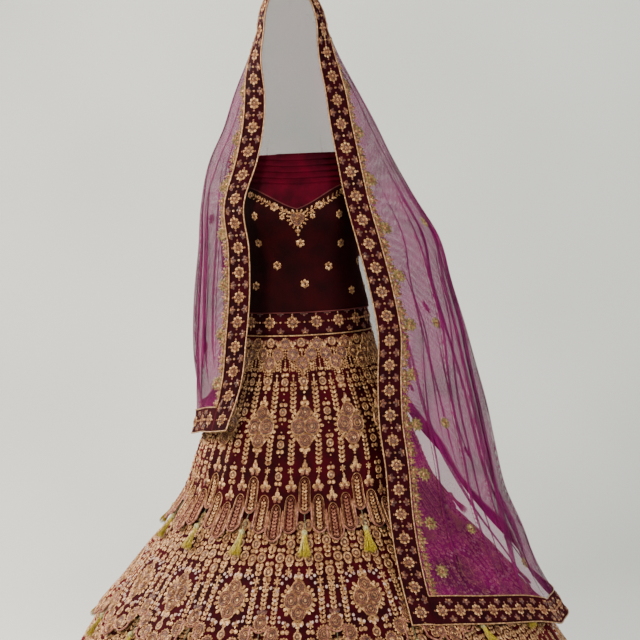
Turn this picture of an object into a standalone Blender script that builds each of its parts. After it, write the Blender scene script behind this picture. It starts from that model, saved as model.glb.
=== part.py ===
"""Bridal lehenga choli: a tiered velvet skirt with scalloped tiers and tassels, a strapless velvet
choli with a pleated yoke, and a net dupatta with velvet borders, in the hollow form they take when worn.

Metres, +Z up, front towards -Y. The origin is the middle of the waist, at the choli's hem."""

import math
from collections import namedtuple

import bmesh
import bpy
from mathutils import Matrix, Vector

# Cloth thicknesses and the gaps that keep sewn pieces apart.
VELVET = 0.002
YOKE_CLOTH = 0.0012
NET = 0.0012
BORDER_CLOTH = 0.0016
SEAM_GAP = 0.0004
LAYER_GAP = 0.0007

# Skirt: where each tier starts and ends below the waist.
BAND_TOP = 0.014
BAND_BOTTOM = -0.050
FLOOR = -1.060

# A tier's lower edge: how far it drops below the notch at each share of a repeat.
Scallop = namedtuple("Scallop", "share drop")
SCALLOPS = (
    Scallop(0.00, 0.000),
    Scallop(0.13, 0.028),
    Scallop(0.37, 0.054),
    Scallop(0.63, 0.054),
    Scallop(0.87, 0.028),
)
SCALLOP_DROP = max(row.drop for row in SCALLOPS)

Tier = namedtuple("Tier", "name top seat notch repeats notch_deg rows tuck")
TIERS = (
    Tier("tier_1", BAND_BOTTOM - SEAM_GAP, -0.385, -0.424, 15, -2.4, 4, 0.0),
    Tier("tier_2", -0.385, -0.600, -0.640, 18, 5.8, 3, VELVET + 0.0012),
)
HEM_TIER_TOP = -0.600
HEM_TIER_TUCK = VELVET + 0.0018
HEM_TIER_ROWS = 4
HEM_TIER_COLUMNS = 36
TIER_STAND = 0.012
TIER_CLEAR = 0.0030
BAND_ROWS = 2

# The skirt's flare, read at each height.
Flare = namedtuple("Flare", "height half_width half_depth")
FLARE = (
    Flare(0.020, 0.146, 0.112),
    Flare(-0.050, 0.156, 0.122),
    Flare(-0.140, 0.177, 0.148),
    Flare(-0.200, 0.202, 0.175),
    Flare(-0.310, 0.250, 0.226),
    Flare(-0.420, 0.290, 0.268),
    Flare(-0.490, 0.335, 0.313),
    Flare(-0.535, 0.377, 0.355),
    Flare(-0.580, 0.415, 0.394),
    Flare(-0.630, 0.455, 0.435),
    Flare(-0.700, 0.507, 0.488),
    Flare(-0.800, 0.571, 0.555),
    Flare(-0.900, 0.625, 0.612),
    Flare(-1.060, 0.700, 0.690),
)

# The skirt is eased over the hips, which widens and turns the front repeats there.
HIP_HEIGHT = -0.200
HIP_REACH = 0.150
HIP_SPREAD = 0.067
HIP_TURN = 0.6

# Soft flutes of the skirt, deepest at the hem.
Flute = namedtuple("Flute", "angle_deg width_deg depth")
FLUTES = (
    Flute(-168, 9, 0.013),
    Flute(-141, 8, 0.010),
    Flute(-117, 9, 0.015),
    Flute(-88, 7, 0.012),
    Flute(-66, 7, 0.014),
    Flute(-41, 8, 0.009),
    Flute(-17, 7, 0.007),
    Flute(12, 8, 0.008),
    Flute(37, 7, 0.011),
    Flute(62, 8, 0.013),
    Flute(91, 7, 0.012),
    Flute(116, 9, 0.014),
    Flute(146, 8, 0.011),
)
FLUTE_TOP = -0.260
FLUTE_REACH = 0.800

# Choli and yoke: the torso they are cut for.
Torso = namedtuple("Torso", "height half_width front back")
TORSO = (
    Torso(0.000, 0.1492, 0.1162, 0.1162),
    Torso(0.014, 0.1480, 0.1148, 0.1148),
    Torso(0.050, 0.1400, 0.1110, 0.1060),
    Torso(0.100, 0.1310, 0.1080, 0.0980),
    Torso(0.150, 0.1330, 0.1160, 0.1000),
    Torso(0.200, 0.1400, 0.1290, 0.1050),
    Torso(0.240, 0.1450, 0.1330, 0.1090),
    Torso(0.290, 0.1480, 0.1250, 0.1120),
    Torso(0.330, 0.1480, 0.1120, 0.1120),
    Torso(0.365, 0.1450, 0.1020, 0.1100),
)
CHOLI_HEM = 0.001
NECK_POINT = 0.238
NECK_SIDE = 0.290
NECK_HALF_WIDTH = 0.105
UNDERARM = 0.272
YOKE_TOP = 0.362
YOKE_TUCK = 0.012
PLEAT_BASE = 0.294
CHOLI_OUT = TIER_CLEAR + VELVET + LAYER_GAP
YOKE_PLEATS = 4
PLEAT_DEPTH = 0.0035
FRONT_COLUMNS = 20
BACK_COLUMNS = 14
CHOLI_ROWS = 10
CUP_ANGLE = math.radians(31)
CUP_HEIGHT = 0.222
CUP_DEPTH = 0.015
CUP_SPREAD = math.radians(17)
CUP_RISE = 0.040

# Tassel: cord, bead and silk locks, and how it hangs from its notch over the tier below.
# The rings are the cord's top and foot, then the bead's widest part and its foot.
Ring = namedtuple("Ring", "drop radius")
TASSEL_RINGS = (
    Ring(0.0000, 0.0014),
    Ring(0.0400, 0.0014),
    Ring(0.0452, 0.0058),
    Ring(0.0530, 0.0052),
)
SILK_LENGTH = 0.046
SILK_SPREAD = 0.0072
SILK_FLARE = 0.6
SILK_FLATTEN = 0.55
LOCKS = 4
LOCK_GAP = 0.0003
TASSEL_DROP = 0.0026
TASSEL_OUT = 0.0180
TASSEL_REACH = 0.092

# Dupatta: net over the head, down both sides and round the back.
BORDER_WIDTH = 0.056
BORDER_COLUMNS = 3
LAST_COLUMN = BORDER_COLUMNS + 18
DOME_DROPS = (0.0, 0.006, 0.025, 0.060, 0.110)
DOME_HEIGHT = DOME_DROPS[-1]
DOME_ROW = len(DOME_DROPS) - 1
BORDER_ROW = DOME_ROW + 10
LAST_ROW = BORDER_ROW + 2
SECTION_STEPS = 64
CROWN_HEIGHT = 0.750
CROWN_TOP = -0.030
CROWN_FRONT = -0.105
CROWN_LENGTH = 0.190
CROWN_FRONT_CURVE = 1.0
CROWN_BACK_CURVE = 4.0

Drape = namedtuple(
    "Drape",
    "height left_x left_y left_edge_x left_edge_y back right_x right_y right_edge_x right_edge_y",
)
DRAPE = (
    Drape(0.645, -0.074, -0.010, -0.054, -0.100, 0.105, 0.088, -0.010, 0.061, -0.100),
    Drape(0.580, -0.103, 0.000, -0.064, -0.100, 0.108, 0.115, 0.000, 0.062, -0.100),
    Drape(0.500, -0.139, 0.005, -0.060, -0.103, 0.105, 0.155, 0.005, 0.074, -0.106),
    Drape(0.430, -0.165, 0.010, -0.065, -0.116, 0.112, 0.190, 0.010, 0.081, -0.118),
    Drape(0.350, -0.202, 0.010, -0.083, -0.130, 0.140, 0.225, 0.010, 0.093, -0.130),
    Drape(0.250, -0.221, 0.005, -0.117, -0.150, 0.155, 0.274, 0.010, 0.109, -0.145),
    Drape(0.155, -0.227, 0.000, -0.110, -0.155, 0.155, 0.326, 0.020, 0.131, -0.155),
    Drape(0.050, -0.238, 0.000, -0.113, -0.158, 0.155, 0.349, 0.010, 0.154, -0.168),
    Drape(-0.050, -0.244, -0.010, -0.125, -0.170, 0.175, 0.371, 0.000, 0.168, -0.190),
    Drape(-0.150, -0.247, -0.025, -0.141, -0.188, 0.215, 0.388, 0.000, 0.163, -0.198),
    Drape(-0.250, -0.252, -0.035, -0.178, -0.205, 0.262, 0.407, 0.000, 0.162, -0.214),
    Drape(-0.350, -0.300, -0.020, -0.215, -0.240, 0.312, 0.424, 0.000, 0.171, -0.245),
    Drape(-0.450, -0.390, 0.000, -0.250, -0.280, 0.365, 0.444, 0.000, 0.174, -0.297),
    Drape(-0.550, -0.460, 0.000, -0.280, -0.340, 0.435, 0.486, 0.000, 0.186, -0.364),
    Drape(-0.655, -0.530, 0.000, -0.310, -0.400, 0.515, 0.527, 0.000, 0.208, -0.4240),
    Drape(-0.800, -0.630, 0.000, -0.360, -0.500, 0.615, 0.612, 0.000, 0.235, -0.530),
)

# The dupatta's lower edge, from the left front corner (-1) by the back (0) to the right one (1).
Hem = namedtuple("Hem", "share height")
HEM = (
    Hem(-1.00, -0.250),
    Hem(-0.80, -0.262),
    Hem(-0.60, -0.278),
    Hem(-0.35, -0.215),
    Hem(0.00, -0.060),
    Hem(0.22, -0.220),
    Hem(0.40, -0.600),
    Hem(0.50, -0.745),
    Hem(0.57, -0.757),
    Hem(0.66, -0.714),
    Hem(0.76, -0.681),
    Hem(0.86, -0.657),
    Hem(1.00, -0.650),
)

# Folds of the net: where each lies along a half, its depth at the hem and where it starts.
Crease = namedtuple("Crease", "share width depth start")
CREASES = (
    Crease(-0.72, 0.035, 0.010, 0.40),
    Crease(-0.58, 0.030, 0.012, 0.30),
    Crease(-0.43, 0.035, 0.014, 0.35),
    Crease(-0.26, 0.040, 0.016, 0.45),
    Crease(-0.10, 0.035, 0.014, 0.40),
    Crease(0.08, 0.035, 0.015, 0.45),
    Crease(0.22, 0.035, 0.018, 0.40),
    Crease(0.35, 0.030, 0.020, 0.30),
    Crease(0.47, 0.028, 0.018, 0.20),
    Crease(0.58, 0.026, 0.020, 0.15),
    Crease(0.70, 0.026, 0.014, 0.10),
)
CREASE_REACH = 0.45


def value_at(table, at, column):
    """A table's column at a place between its rows, on a cubic through them."""
    rows = sorted(table)
    at = min(max(at, rows[0][0]), rows[-1][0])
    below = max(k for k in range(len(rows) - 1) if rows[k][0] <= at)
    picked = [getattr(row, column) for row in rows]

    def slope(k):
        low = max(k - 1, 0)
        high = min(k + 1, len(rows) - 1)
        return (picked[high] - picked[low]) / (rows[high][0] - rows[low][0])

    span = rows[below + 1][0] - rows[below][0]
    t = (at - rows[below][0]) / span
    start = (1 + 2 * t) * (1 - t) ** 2 * picked[below] + t * (1 - t) ** 2 * span * slope(below)
    end = t * t * (3 - 2 * t) * picked[below + 1] + t * t * (t - 1) * span * slope(below + 1)
    return start + end


def ease(t):
    """0 below 0, 1 above 1, and smooth between."""
    t = min(max(t, 0.0), 1.0)
    return t * t * (3 - 2 * t)


def turned(degrees):
    """An angle brought to within half a turn of 0."""
    return (degrees + 180) % 360 - 180


def material(name, colour, roughness, metallic=0.0, alpha=1.0):
    made = bpy.data.materials.new(name)
    made.use_nodes = True
    shader = made.node_tree.nodes["Principled BSDF"]
    shader.inputs["Base Color"].default_value = (*colour, 1)
    shader.inputs["Roughness"].default_value = roughness
    shader.inputs["Metallic"].default_value = metallic
    shader.inputs["Alpha"].default_value = alpha
    return made


def add_object(name, bm, finish):
    mesh = bpy.data.meshes.new(name)
    bm.to_mesh(mesh)
    bm.free()
    mesh.shade_smooth()
    mesh.materials.append(finish)
    made = bpy.data.objects.new(name, mesh)
    bpy.context.scene.collection.objects.link(made)
    return made


def build_wall(name, columns, rows, place, thickness, finish):
    """A wall of cloth: a slab whose points go to place(across, up, out), across and up 0 to 1."""
    bm = bmesh.new()
    bmesh.ops.create_grid(bm, x_segments=columns, y_segments=rows, size=0.5)
    bmesh.ops.triangulate(bm, faces=bm.faces, quad_method="FIXED")
    raised = bmesh.ops.extrude_face_region(bm, geom=bm.faces[:], use_keep_orig=True)["geom"]
    outer = {item for item in raised if isinstance(item, bmesh.types.BMVert)}
    for vert in bm.verts:
        out = thickness if vert in outer else 0
        vert.co = place(round(vert.co.x + 0.5, 6), round(vert.co.y + 0.5, 6), out)
    bmesh.ops.recalc_face_normals(bm, faces=bm.faces)
    return add_object(name, bm, finish)


# Skirt

def flute_out(angle, height):
    """How far the flutes push the skirt out at an angle and height."""
    grown = ease((FLUTE_TOP - height) / FLUTE_REACH)
    degrees = math.degrees(angle)
    return grown * sum(
        flute.depth * math.exp(-((turned(degrees - flute.angle_deg) / flute.width_deg) ** 2))
        for flute in FLUTES
    )


def on_skirt(angle, height, out):
    """A point off the skirt's flare; angle 0 is the front and 90 degrees the wearer's left."""
    half_width = value_at(FLARE, height, "half_width")
    half_depth = value_at(FLARE, height, "half_depth")
    spread = HIP_SPREAD * math.exp(-(((height - HIP_HEIGHT) / HIP_REACH) ** 2))
    turn = angle + spread * (math.sin(2 * angle) + HIP_TURN)
    base = Vector((half_width * math.sin(turn), -half_depth * math.cos(turn), height))
    away = Vector((math.sin(turn) / half_width, -math.cos(turn) / half_depth, 0)).normalized()
    return base + away * (out + flute_out(angle, height))


def notch_angle(tier, number):
    return math.radians(tier.notch_deg) + 2 * math.pi * number / tier.repeats


def front_repeats(tier):
    """The first notch of the front half, and how many repeats it holds."""
    held = (tier.repeats + 1) // 2
    return -((held + 1) // 2), held


def tier_out(tier, height):
    """A tier lies close above its seat and stands off the next tier below it."""
    stood = ease((tier.seat - height) / (tier.seat - tier.notch + SCALLOP_DROP))
    return TIER_CLEAR + TIER_STAND * stood


def trimmed(angle, share, height):
    """Draws the ends of a half back, for the gap of the side seam."""
    trim = SEAM_GAP / 2 / value_at(FLARE, height, "half_width")
    return angle + trim * (1 - 2 * share) if share in (0, 1) else angle


def side_name(name, half):
    return f"{name}_{('front', 'back')[half]}"


def build_scalloped_tier(tier, half, finish):
    first, held = front_repeats(tier)
    if half:
        first, held = first + held, tier.repeats - held
    columns = held * len(SCALLOPS)

    def place(across, up, out):
        repeat, number = divmod(round(across * columns), len(SCALLOPS))
        scallop = SCALLOPS[number]
        angle = notch_angle(tier, first + repeat + scallop.share)
        row = round(up * (tier.rows + 1))
        height = tier.seat + (tier.top - tier.seat) * (row - 1) / tier.rows
        height = height if row else tier.notch - scallop.drop
        tuck = tier.tuck * ease((row - 1) / tier.rows)
        return on_skirt(trimmed(angle, across, height), height, tier_out(tier, height) - tuck + out)

    return build_wall(side_name(tier.name, half), columns, tier.rows + 1, place, VELVET, finish)


def build_hem_tier(half, finish):
    def place(across, up, out):
        height = FLOOR + (HEM_TIER_TOP - FLOOR) * up
        angle = trimmed((half - 0.5 + across) * math.pi, across, height)
        return on_skirt(angle, height, TIER_CLEAR - HEM_TIER_TUCK * up + out)

    name = side_name("tier_3", half)
    return build_wall(name, HEM_TIER_COLUMNS, HEM_TIER_ROWS, place, VELVET, finish)


def build_waistband(half, finish):
    def place(across, up, out):
        height = BAND_BOTTOM + (BAND_TOP - BAND_BOTTOM) * up
        angle = trimmed((half - 0.5 + across) * math.pi, across, height)
        return on_skirt(angle, height, TIER_CLEAR + out)

    columns = (FRONT_COLUMNS, BACK_COLUMNS)[half]
    return build_wall(side_name("waistband", half), columns, BAND_ROWS, place, VELVET, finish)


# Choli and yoke

def on_torso(angle, height, out):
    half_width = value_at(TORSO, height, "half_width")
    depth = value_at(TORSO, height, "front" if math.cos(angle) > 0 else "back")
    base = Vector((half_width * math.sin(angle), -depth * math.cos(angle), height))
    away = Vector((math.sin(angle) / half_width, -math.cos(angle) / depth, 0)).normalized()
    cup = sum(
        math.exp(-(((angle - side * CUP_ANGLE) / CUP_SPREAD) ** 2)) for side in (-1, 1)
    ) * math.exp(-(((height - CUP_HEIGHT) / CUP_RISE) ** 2))
    return base + away * (out + CUP_DEPTH * cup)


def neckline(angle):
    """Sweetheart neckline: a point at the middle, high beside it, then down to the underarm."""
    x = abs(value_at(TORSO, NECK_SIDE, "half_width") * math.sin(angle))
    if math.cos(angle) <= 0:
        return UNDERARM
    share = x / NECK_HALF_WIDTH
    if share < 1:
        return NECK_POINT + (NECK_SIDE - NECK_POINT) * (share + ease(share)) / 2
    span = value_at(TORSO, NECK_SIDE, "half_width") - NECK_HALF_WIDTH
    return NECK_SIDE + (UNDERARM - NECK_SIDE) * ease((x - NECK_HALF_WIDTH) / span)


def build_choli_half(half, finish):
    def place(across, up, out):
        angle = (half - 0.5 + across) * math.pi
        top = neckline(angle)
        body = up * CHOLI_ROWS / (CHOLI_ROWS - 1)
        height = top if up == 1 else CHOLI_HEM + (top - YOKE_TUCK - CHOLI_HEM) * body
        return on_torso(trimmed(angle, across, 0), height, CHOLI_OUT + out)

    columns = (FRONT_COLUMNS, BACK_COLUMNS)[half]
    return build_wall(side_name("choli", half), columns, CHOLI_ROWS, place, VELVET, finish)


def build_yoke_half(half, finish):
    """The yoke tucks in behind the choli's neckline, is plain up to its first pleat, then pleated."""
    rows = 2 + 2 * YOKE_PLEATS

    def place(across, up, out):
        angle = (half - 0.5 + across) * math.pi
        row = round(up * rows)
        top = neckline(angle)
        pleat_row = max(row - 2, 0)
        pleated = PLEAT_BASE + (YOKE_TOP - PLEAT_BASE) * pleat_row / (2 * YOKE_PLEATS)
        height = (top - YOKE_TUCK, top)[row] if row < 2 else pleated
        raised = CHOLI_OUT - SEAM_GAP - YOKE_CLOTH + PLEAT_DEPTH * (pleat_row % 2)
        return on_torso(trimmed(angle, across, 0), height, raised + out)

    columns = (FRONT_COLUMNS, BACK_COLUMNS)[half]
    return build_wall(side_name("yoke", half), columns, rows, place, YOKE_CLOTH, finish)


# Tassels

def tassel_mesh(finish):
    """A tassel hanging down -Z from the top of its cord, flattened towards the skirt in Y."""
    bm = bmesh.new()
    bmesh.ops.create_circle(bm, cap_ends=True, segments=LOCKS, radius=TASSEL_RINGS[0].radius)
    bottom = bm.faces[:][0].copy()
    for ring in TASSEL_RINGS[1:]:
        bottom = bmesh.ops.extrude_discrete_faces(bm, faces=[bottom])["faces"][0]
        for vert in bottom.verts:
            vert.co = Vector((vert.co.x, vert.co.y, 0)).normalized() * ring.radius
            vert.co.z = -ring.drop
    bmesh.ops.remove_doubles(bm, verts=bm.verts, dist=1e-6)
    roots = bmesh.ops.poke(bm, faces=[bottom])["faces"]
    bmesh.ops.inset_individual(bm, faces=roots, thickness=LOCK_GAP)
    locks = bmesh.ops.extrude_discrete_faces(bm, faces=roots)["faces"]
    for lock in locks:
        root = lock.calc_center_median()
        outward = Vector((root.x, root.y, 0)).normalized()
        for vert in lock.verts:
            vert.co += (vert.co - root) * SILK_FLARE
            vert.co += outward * SILK_SPREAD - Vector((0, 0, SILK_LENGTH))
            vert.co.y *= SILK_FLATTEN
    bmesh.ops.recalc_face_normals(bm, faces=bm.faces)
    mesh = bpy.data.meshes.new("tassel")
    bm.to_mesh(mesh)
    bm.free()
    mesh.materials.append(finish)
    return mesh


def hang_tassels(tier, mesh):
    """One tassel below each notch of a tier, lying along the slope of the tier below."""
    for number in range(tier.repeats):
        angle = notch_angle(tier, number)
        out = tier_out(tier, tier.notch) + VELVET / 2
        top = on_skirt(angle, tier.notch - TASSEL_DROP, out)
        up = (top - on_skirt(angle, tier.notch - TASSEL_REACH, TASSEL_OUT)).normalized()
        inward = up.cross(Vector((math.cos(angle), math.sin(angle), 0))).normalized()
        turn = Matrix((inward.cross(up), inward, up)).transposed().to_4x4()
        made = bpy.data.objects.new(f"{tier.name}_tassel_{number + 1:02d}", mesh)
        bpy.context.scene.collection.objects.link(made)
        made.matrix_world = Matrix.Translation(top) @ turn


# Dupatta

def half_section(height, side):
    """Points along a level section of one half, from its front edge round to the back."""
    across = value_at(DRAPE, height, f"{side}_x")
    along = value_at(DRAPE, height, f"{side}_y")
    start = math.asin(value_at(DRAPE, height, f"{side}_edge_x") / across)
    front = (along - value_at(DRAPE, height, f"{side}_edge_y")) / math.cos(start)
    back = value_at(DRAPE, height, "back") - along
    points = []
    for step in range(SECTION_STEPS + 1):
        turn = start + (math.pi - start) * step / SECTION_STEPS
        depth = front if turn < math.pi / 2 else back
        points.append(Vector((across * math.sin(turn), along - depth * math.cos(turn), height)))
    return points


def along_section(points, distance):
    """The point and the direction at a distance along a section."""
    gone = 0.0
    for first, second in zip(points, points[1:]):
        step = (second - first).length
        if gone + step >= distance or second is points[-1]:
            direction = (second - first).normalized()
            return first + direction * (distance - gone), direction
        gone += step


def crease_out(share, height):
    """How far the folds push the net out, at a share of the way round and a height."""
    return sum(
        crease.depth
        * ease((crease.start - height) / CREASE_REACH)
        * math.exp(-(((share - crease.share) / crease.width) ** 2))
        for crease in CREASES
    )


def column_distance(column, length):
    """Distance of a column from the front edge: the border's columns first, then even ones."""
    if column <= BORDER_COLUMNS:
        return BORDER_WIDTH * column / BORDER_COLUMNS
    share = (column - BORDER_COLUMNS) / (LAST_COLUMN - BORDER_COLUMNS)
    return BORDER_WIDTH + (length - BORDER_WIDTH) * share


def crown_point(column):
    """Where a column starts, on the line that runs over the top of the hood from front to back."""
    along = CROWN_FRONT + column_distance(column, CROWN_LENGTH)
    curve = CROWN_FRONT_CURVE if along < CROWN_TOP else CROWN_BACK_CURVE
    return Vector((0, along, CROWN_HEIGHT - curve * (along - CROWN_TOP) ** 2))


def row_height(crown_height, hem, row):
    """Heights of a column's rows: over the dome, down the drape, then across the hem's border."""
    if row <= DOME_ROW:
        return crown_height - DOME_DROPS[row]
    dome_foot = crown_height - DOME_HEIGHT
    border_top = hem + BORDER_WIDTH
    if row <= BORDER_ROW:
        share = (row - DOME_ROW) / (BORDER_ROW - DOME_ROW)
        return dome_foot + (border_top - dome_foot) * share
    return border_top - BORDER_WIDTH * (row - BORDER_ROW) / (LAST_ROW - BORDER_ROW)


def dupatta_point(side, column, row):
    """A point of the net: column counts from the front edge to the back, row from crown to hem."""
    sign = -1 if side == "left" else 1
    crown = crown_point(column)
    hem = value_at(HEM, sign * (1 - column / LAST_COLUMN), "height")
    height = row_height(crown.z, hem, row)
    section = half_section(height, side)
    length = sum((b - a).length for a, b in zip(section, section[1:]))
    distance = column_distance(column, length)
    point, direction = along_section(section, distance)
    away = Vector((direction.y, -direction.x, 0)) * sign
    if column == LAST_COLUMN:
        away = Vector((0, 1, 0))
    off_border = ease(distance / BORDER_WIDTH - 0.6)
    point += away * crease_out(sign * (1 - distance / length), height) * off_border
    dome = math.sqrt(1 - (1 - min((crown.z - height) / DOME_HEIGHT, 1)) ** 2)
    return Vector((point.x * dome, crown.y + (point.y - crown.y) * dome, height))


def dupatta_grid():
    """The net's points by side, column and row. Both sides share the crown line and the back."""
    return {
        side: [
            [dupatta_point(side, column, row) for row in range(LAST_ROW + 1)]
            for column in range(LAST_COLUMN + 1)
        ]
        for side in ("left", "right")
    }


def patch(grid, columns, rows):
    """The grid's faces between these columns and rows, of both sides, as one sheet facing out."""
    bm = bmesh.new()
    for side in ("left", "right"):
        verts = {
            (c, r): bm.verts.new(grid[side][c][r])
            for c in range(columns[0], columns[1] + 1)
            for r in range(rows[0], rows[1] + 1)
        }
        for c in range(columns[0], columns[1]):
            for r in range(rows[0], rows[1]):
                corners = [verts[c, r], verts[c, r + 1], verts[c + 1, r + 1], verts[c + 1, r]]
                bm.faces.new(corners if side == "right" else corners[::-1])
    bmesh.ops.triangulate(bm, faces=bm.faces, quad_method="FIXED")
    bmesh.ops.remove_doubles(bm, verts=bm.verts, dist=1e-5)
    bm.normal_update()
    return bm


def point_key(point):
    return tuple(round(value, 5) for value in point)


def lifted(grid):
    """The grid moved out along the net's own normals, for what is sewn on it."""
    bm = patch(grid, (0, LAST_COLUMN), (0, LAST_ROW))
    normals = {point_key(vert.co): vert.normal.copy() for vert in bm.verts}
    bm.free()
    return {
        side: [
            [point + normals[point_key(point)] * SEAM_GAP for point in column]
            for column in columns
        ]
        for side, columns in grid.items()
    }


def thicken(made, thickness, outwards):
    """Gives a sheet its wall, outwards (1) or inwards (-1) from it."""
    wall = made.modifiers.new("wall", "SOLIDIFY")
    wall.thickness = thickness
    wall.offset = outwards
    wall.use_even_offset = True


def build_dupatta(net_finish, velvet_finish):
    grid = dupatta_grid()
    whole = patch(grid, (0, LAST_COLUMN), (0, LAST_ROW))
    thicken(add_object("dupatta_net", whole, net_finish), NET, -1)
    raised = lifted(grid)
    edge = patch(raised, (0, BORDER_COLUMNS), (0, LAST_ROW))
    thicken(add_object("dupatta_front_border", edge, velvet_finish), BORDER_CLOTH, 1)
    for columns in raised.values():
        for seam, beside in zip(columns[BORDER_COLUMNS], columns[BORDER_COLUMNS + 1]):
            seam += (beside - seam).normalized() * SEAM_GAP
    hem = patch(raised, (BORDER_COLUMNS, LAST_COLUMN), (BORDER_ROW, LAST_ROW))
    thicken(add_object("dupatta_hem_border", hem, velvet_finish), BORDER_CLOTH, 1)


def main():
    for old in list(bpy.data.objects):
        bpy.data.objects.remove(old)
    velvet = material("maroon velvet", (0.060, 0.003, 0.010), 0.85)
    rose = material("crimson pleated satin", (0.180, 0.006, 0.030), 0.5)
    silk = material("yellow tassel silk", (0.62, 0.52, 0.10), 0.55)
    net = material("magenta net", (0.42, 0.02, 0.20), 0.6, alpha=0.5)
    for half in (0, 1):
        build_waistband(half, velvet)
        for tier in TIERS:
            build_scalloped_tier(tier, half, velvet)
        build_hem_tier(half, velvet)
        build_choli_half(half, velvet)
        build_yoke_half(half, rose)
    tassel = tassel_mesh(silk)
    for tier in TIERS:
        hang_tassels(tier, tassel)
    build_dupatta(net, velvet)


main()
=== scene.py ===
# %% [markdown]
# A bridal lehenga choli is three garments worn as one set: a long flared skirt (the lehenga), a
# short fitted bodice (the choli) and a sheer veil (the dupatta). Skirt and bodice are dark maroon
# velvet under dense metal-thread embroidery. The veil is fine magenta net with embroidered velvet
# borders. The plain solids of the set are loaded first as a fixed frame, and every finished piece
# is then made on the same form, in metres, with +Z up and the front towards -Y.

import math
from collections import namedtuple

import bmesh
import bpy
import numpy as np
from mathutils import Matrix, Vector


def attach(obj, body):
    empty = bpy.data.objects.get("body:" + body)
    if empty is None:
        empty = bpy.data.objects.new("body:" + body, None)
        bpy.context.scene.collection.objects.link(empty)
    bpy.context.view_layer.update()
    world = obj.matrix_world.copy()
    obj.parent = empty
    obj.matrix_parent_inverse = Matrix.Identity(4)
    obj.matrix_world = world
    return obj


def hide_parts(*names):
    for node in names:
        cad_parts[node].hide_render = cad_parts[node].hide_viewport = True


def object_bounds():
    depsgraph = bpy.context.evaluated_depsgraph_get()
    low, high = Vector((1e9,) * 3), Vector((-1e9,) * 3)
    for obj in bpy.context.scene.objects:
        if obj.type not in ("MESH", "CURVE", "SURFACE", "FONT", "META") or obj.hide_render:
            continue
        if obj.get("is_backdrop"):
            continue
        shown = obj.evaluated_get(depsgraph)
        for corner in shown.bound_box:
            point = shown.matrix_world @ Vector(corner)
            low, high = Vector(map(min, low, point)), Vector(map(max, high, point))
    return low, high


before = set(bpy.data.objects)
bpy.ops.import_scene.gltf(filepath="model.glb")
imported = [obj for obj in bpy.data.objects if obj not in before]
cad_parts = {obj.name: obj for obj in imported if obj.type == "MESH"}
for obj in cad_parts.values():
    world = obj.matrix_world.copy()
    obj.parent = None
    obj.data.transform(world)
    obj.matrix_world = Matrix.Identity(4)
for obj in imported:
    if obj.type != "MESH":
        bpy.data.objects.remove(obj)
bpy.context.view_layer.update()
print("frame:", len(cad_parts), "nodes")

# %% [markdown]
# The set is seen from a little above the waist, nearly straight on, by a long lens, and the
# picture is rolled by a few degrees.

# %% Camera
CAMERA_PLACE = (0.041, -3.6, 0.30)
CAMERA_PITCH = math.radians(90 - 5.21)
CAMERA_ROLL = math.radians(-2.5)
LENS_MM = 86.2

camera = bpy.data.objects.new("camera", bpy.data.cameras.new("camera"))
bpy.context.scene.collection.objects.link(camera)
bpy.context.scene.camera = camera
camera.data.lens = LENS_MM
camera.data.sensor_width = 36.0
camera.data.clip_end = 50.0
camera.matrix_world = (
    Matrix.Translation(CAMERA_PLACE)
    @ Matrix.Rotation(CAMERA_PITCH, 4, "X")
    @ Matrix.Rotation(CAMERA_ROLL, 4, "Z")
)
print("camera lens", camera.data.lens, "mm")

# %% [markdown]
# The form of each garment is a short table of sizes with a smooth curve through them. One function
# reads such a table for many places at once, so that thousands of stitches can be laid in one go.

# %% Reading a table of sizes
def read(table, at, column):
    """A table's column at places between its rows, on a cubic through them."""
    rows = sorted(table)
    places = np.array([row[0] for row in rows], float)
    values = np.array([getattr(row, column) for row in rows], float)
    wide_places = np.concatenate([places[:1], places, places[-1:]])
    wide_values = np.concatenate([values[:1], values, values[-1:]])
    slopes = (wide_values[2:] - wide_values[:-2]) / (wide_places[2:] - wide_places[:-2])
    at = np.clip(at, places[0], places[-1])
    k = np.clip(np.searchsorted(places, at, side="right") - 1, 0, len(places) - 2)
    span = places[k + 1] - places[k]
    t = (at - places[k]) / span
    start = (1 + 2 * t) * (1 - t) ** 2 * values[k] + t * (1 - t) ** 2 * span * slopes[k]
    end = t * t * (3 - 2 * t) * values[k + 1] + t * t * (t - 1) * span * slopes[k + 1]
    return start + end


def ease(t):
    """0 below 0, 1 above 1, and smooth between."""
    t = np.clip(t, 0.0, 1.0)
    return t * t * (3 - 2 * t)


def turned(degrees):
    """An angle brought to within half a turn of 0."""
    return (degrees + 180) % 360 - 180


def unit(vectors):
    return vectors / np.linalg.norm(vectors, axis=-1, keepdims=True)


print("350 degrees is the same as", turned(350), "and a quarter eased is", float(ease(0.25)))

# %% [markdown]
# The skirt flares from the waist to the floor over a stiff underskirt. Its sections are nearly
# round, soft flutes grow towards the hem, and a few gentle drape folds cross the tiers. An angle of
# 0 is the middle of the front, and every place on the skirt is an angle, a height and a distance
# out from the form.

# %% Form of the skirt
VELVET = 0.002
SEAM_GAP = 0.0004
LAYER_GAP = 0.0007
BAND_TOP = 0.014
BAND_BOTTOM = -0.050
FLOOR = -1.060
TIER_CLEAR = 0.0030
TIER_STAND = 0.012

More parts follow.
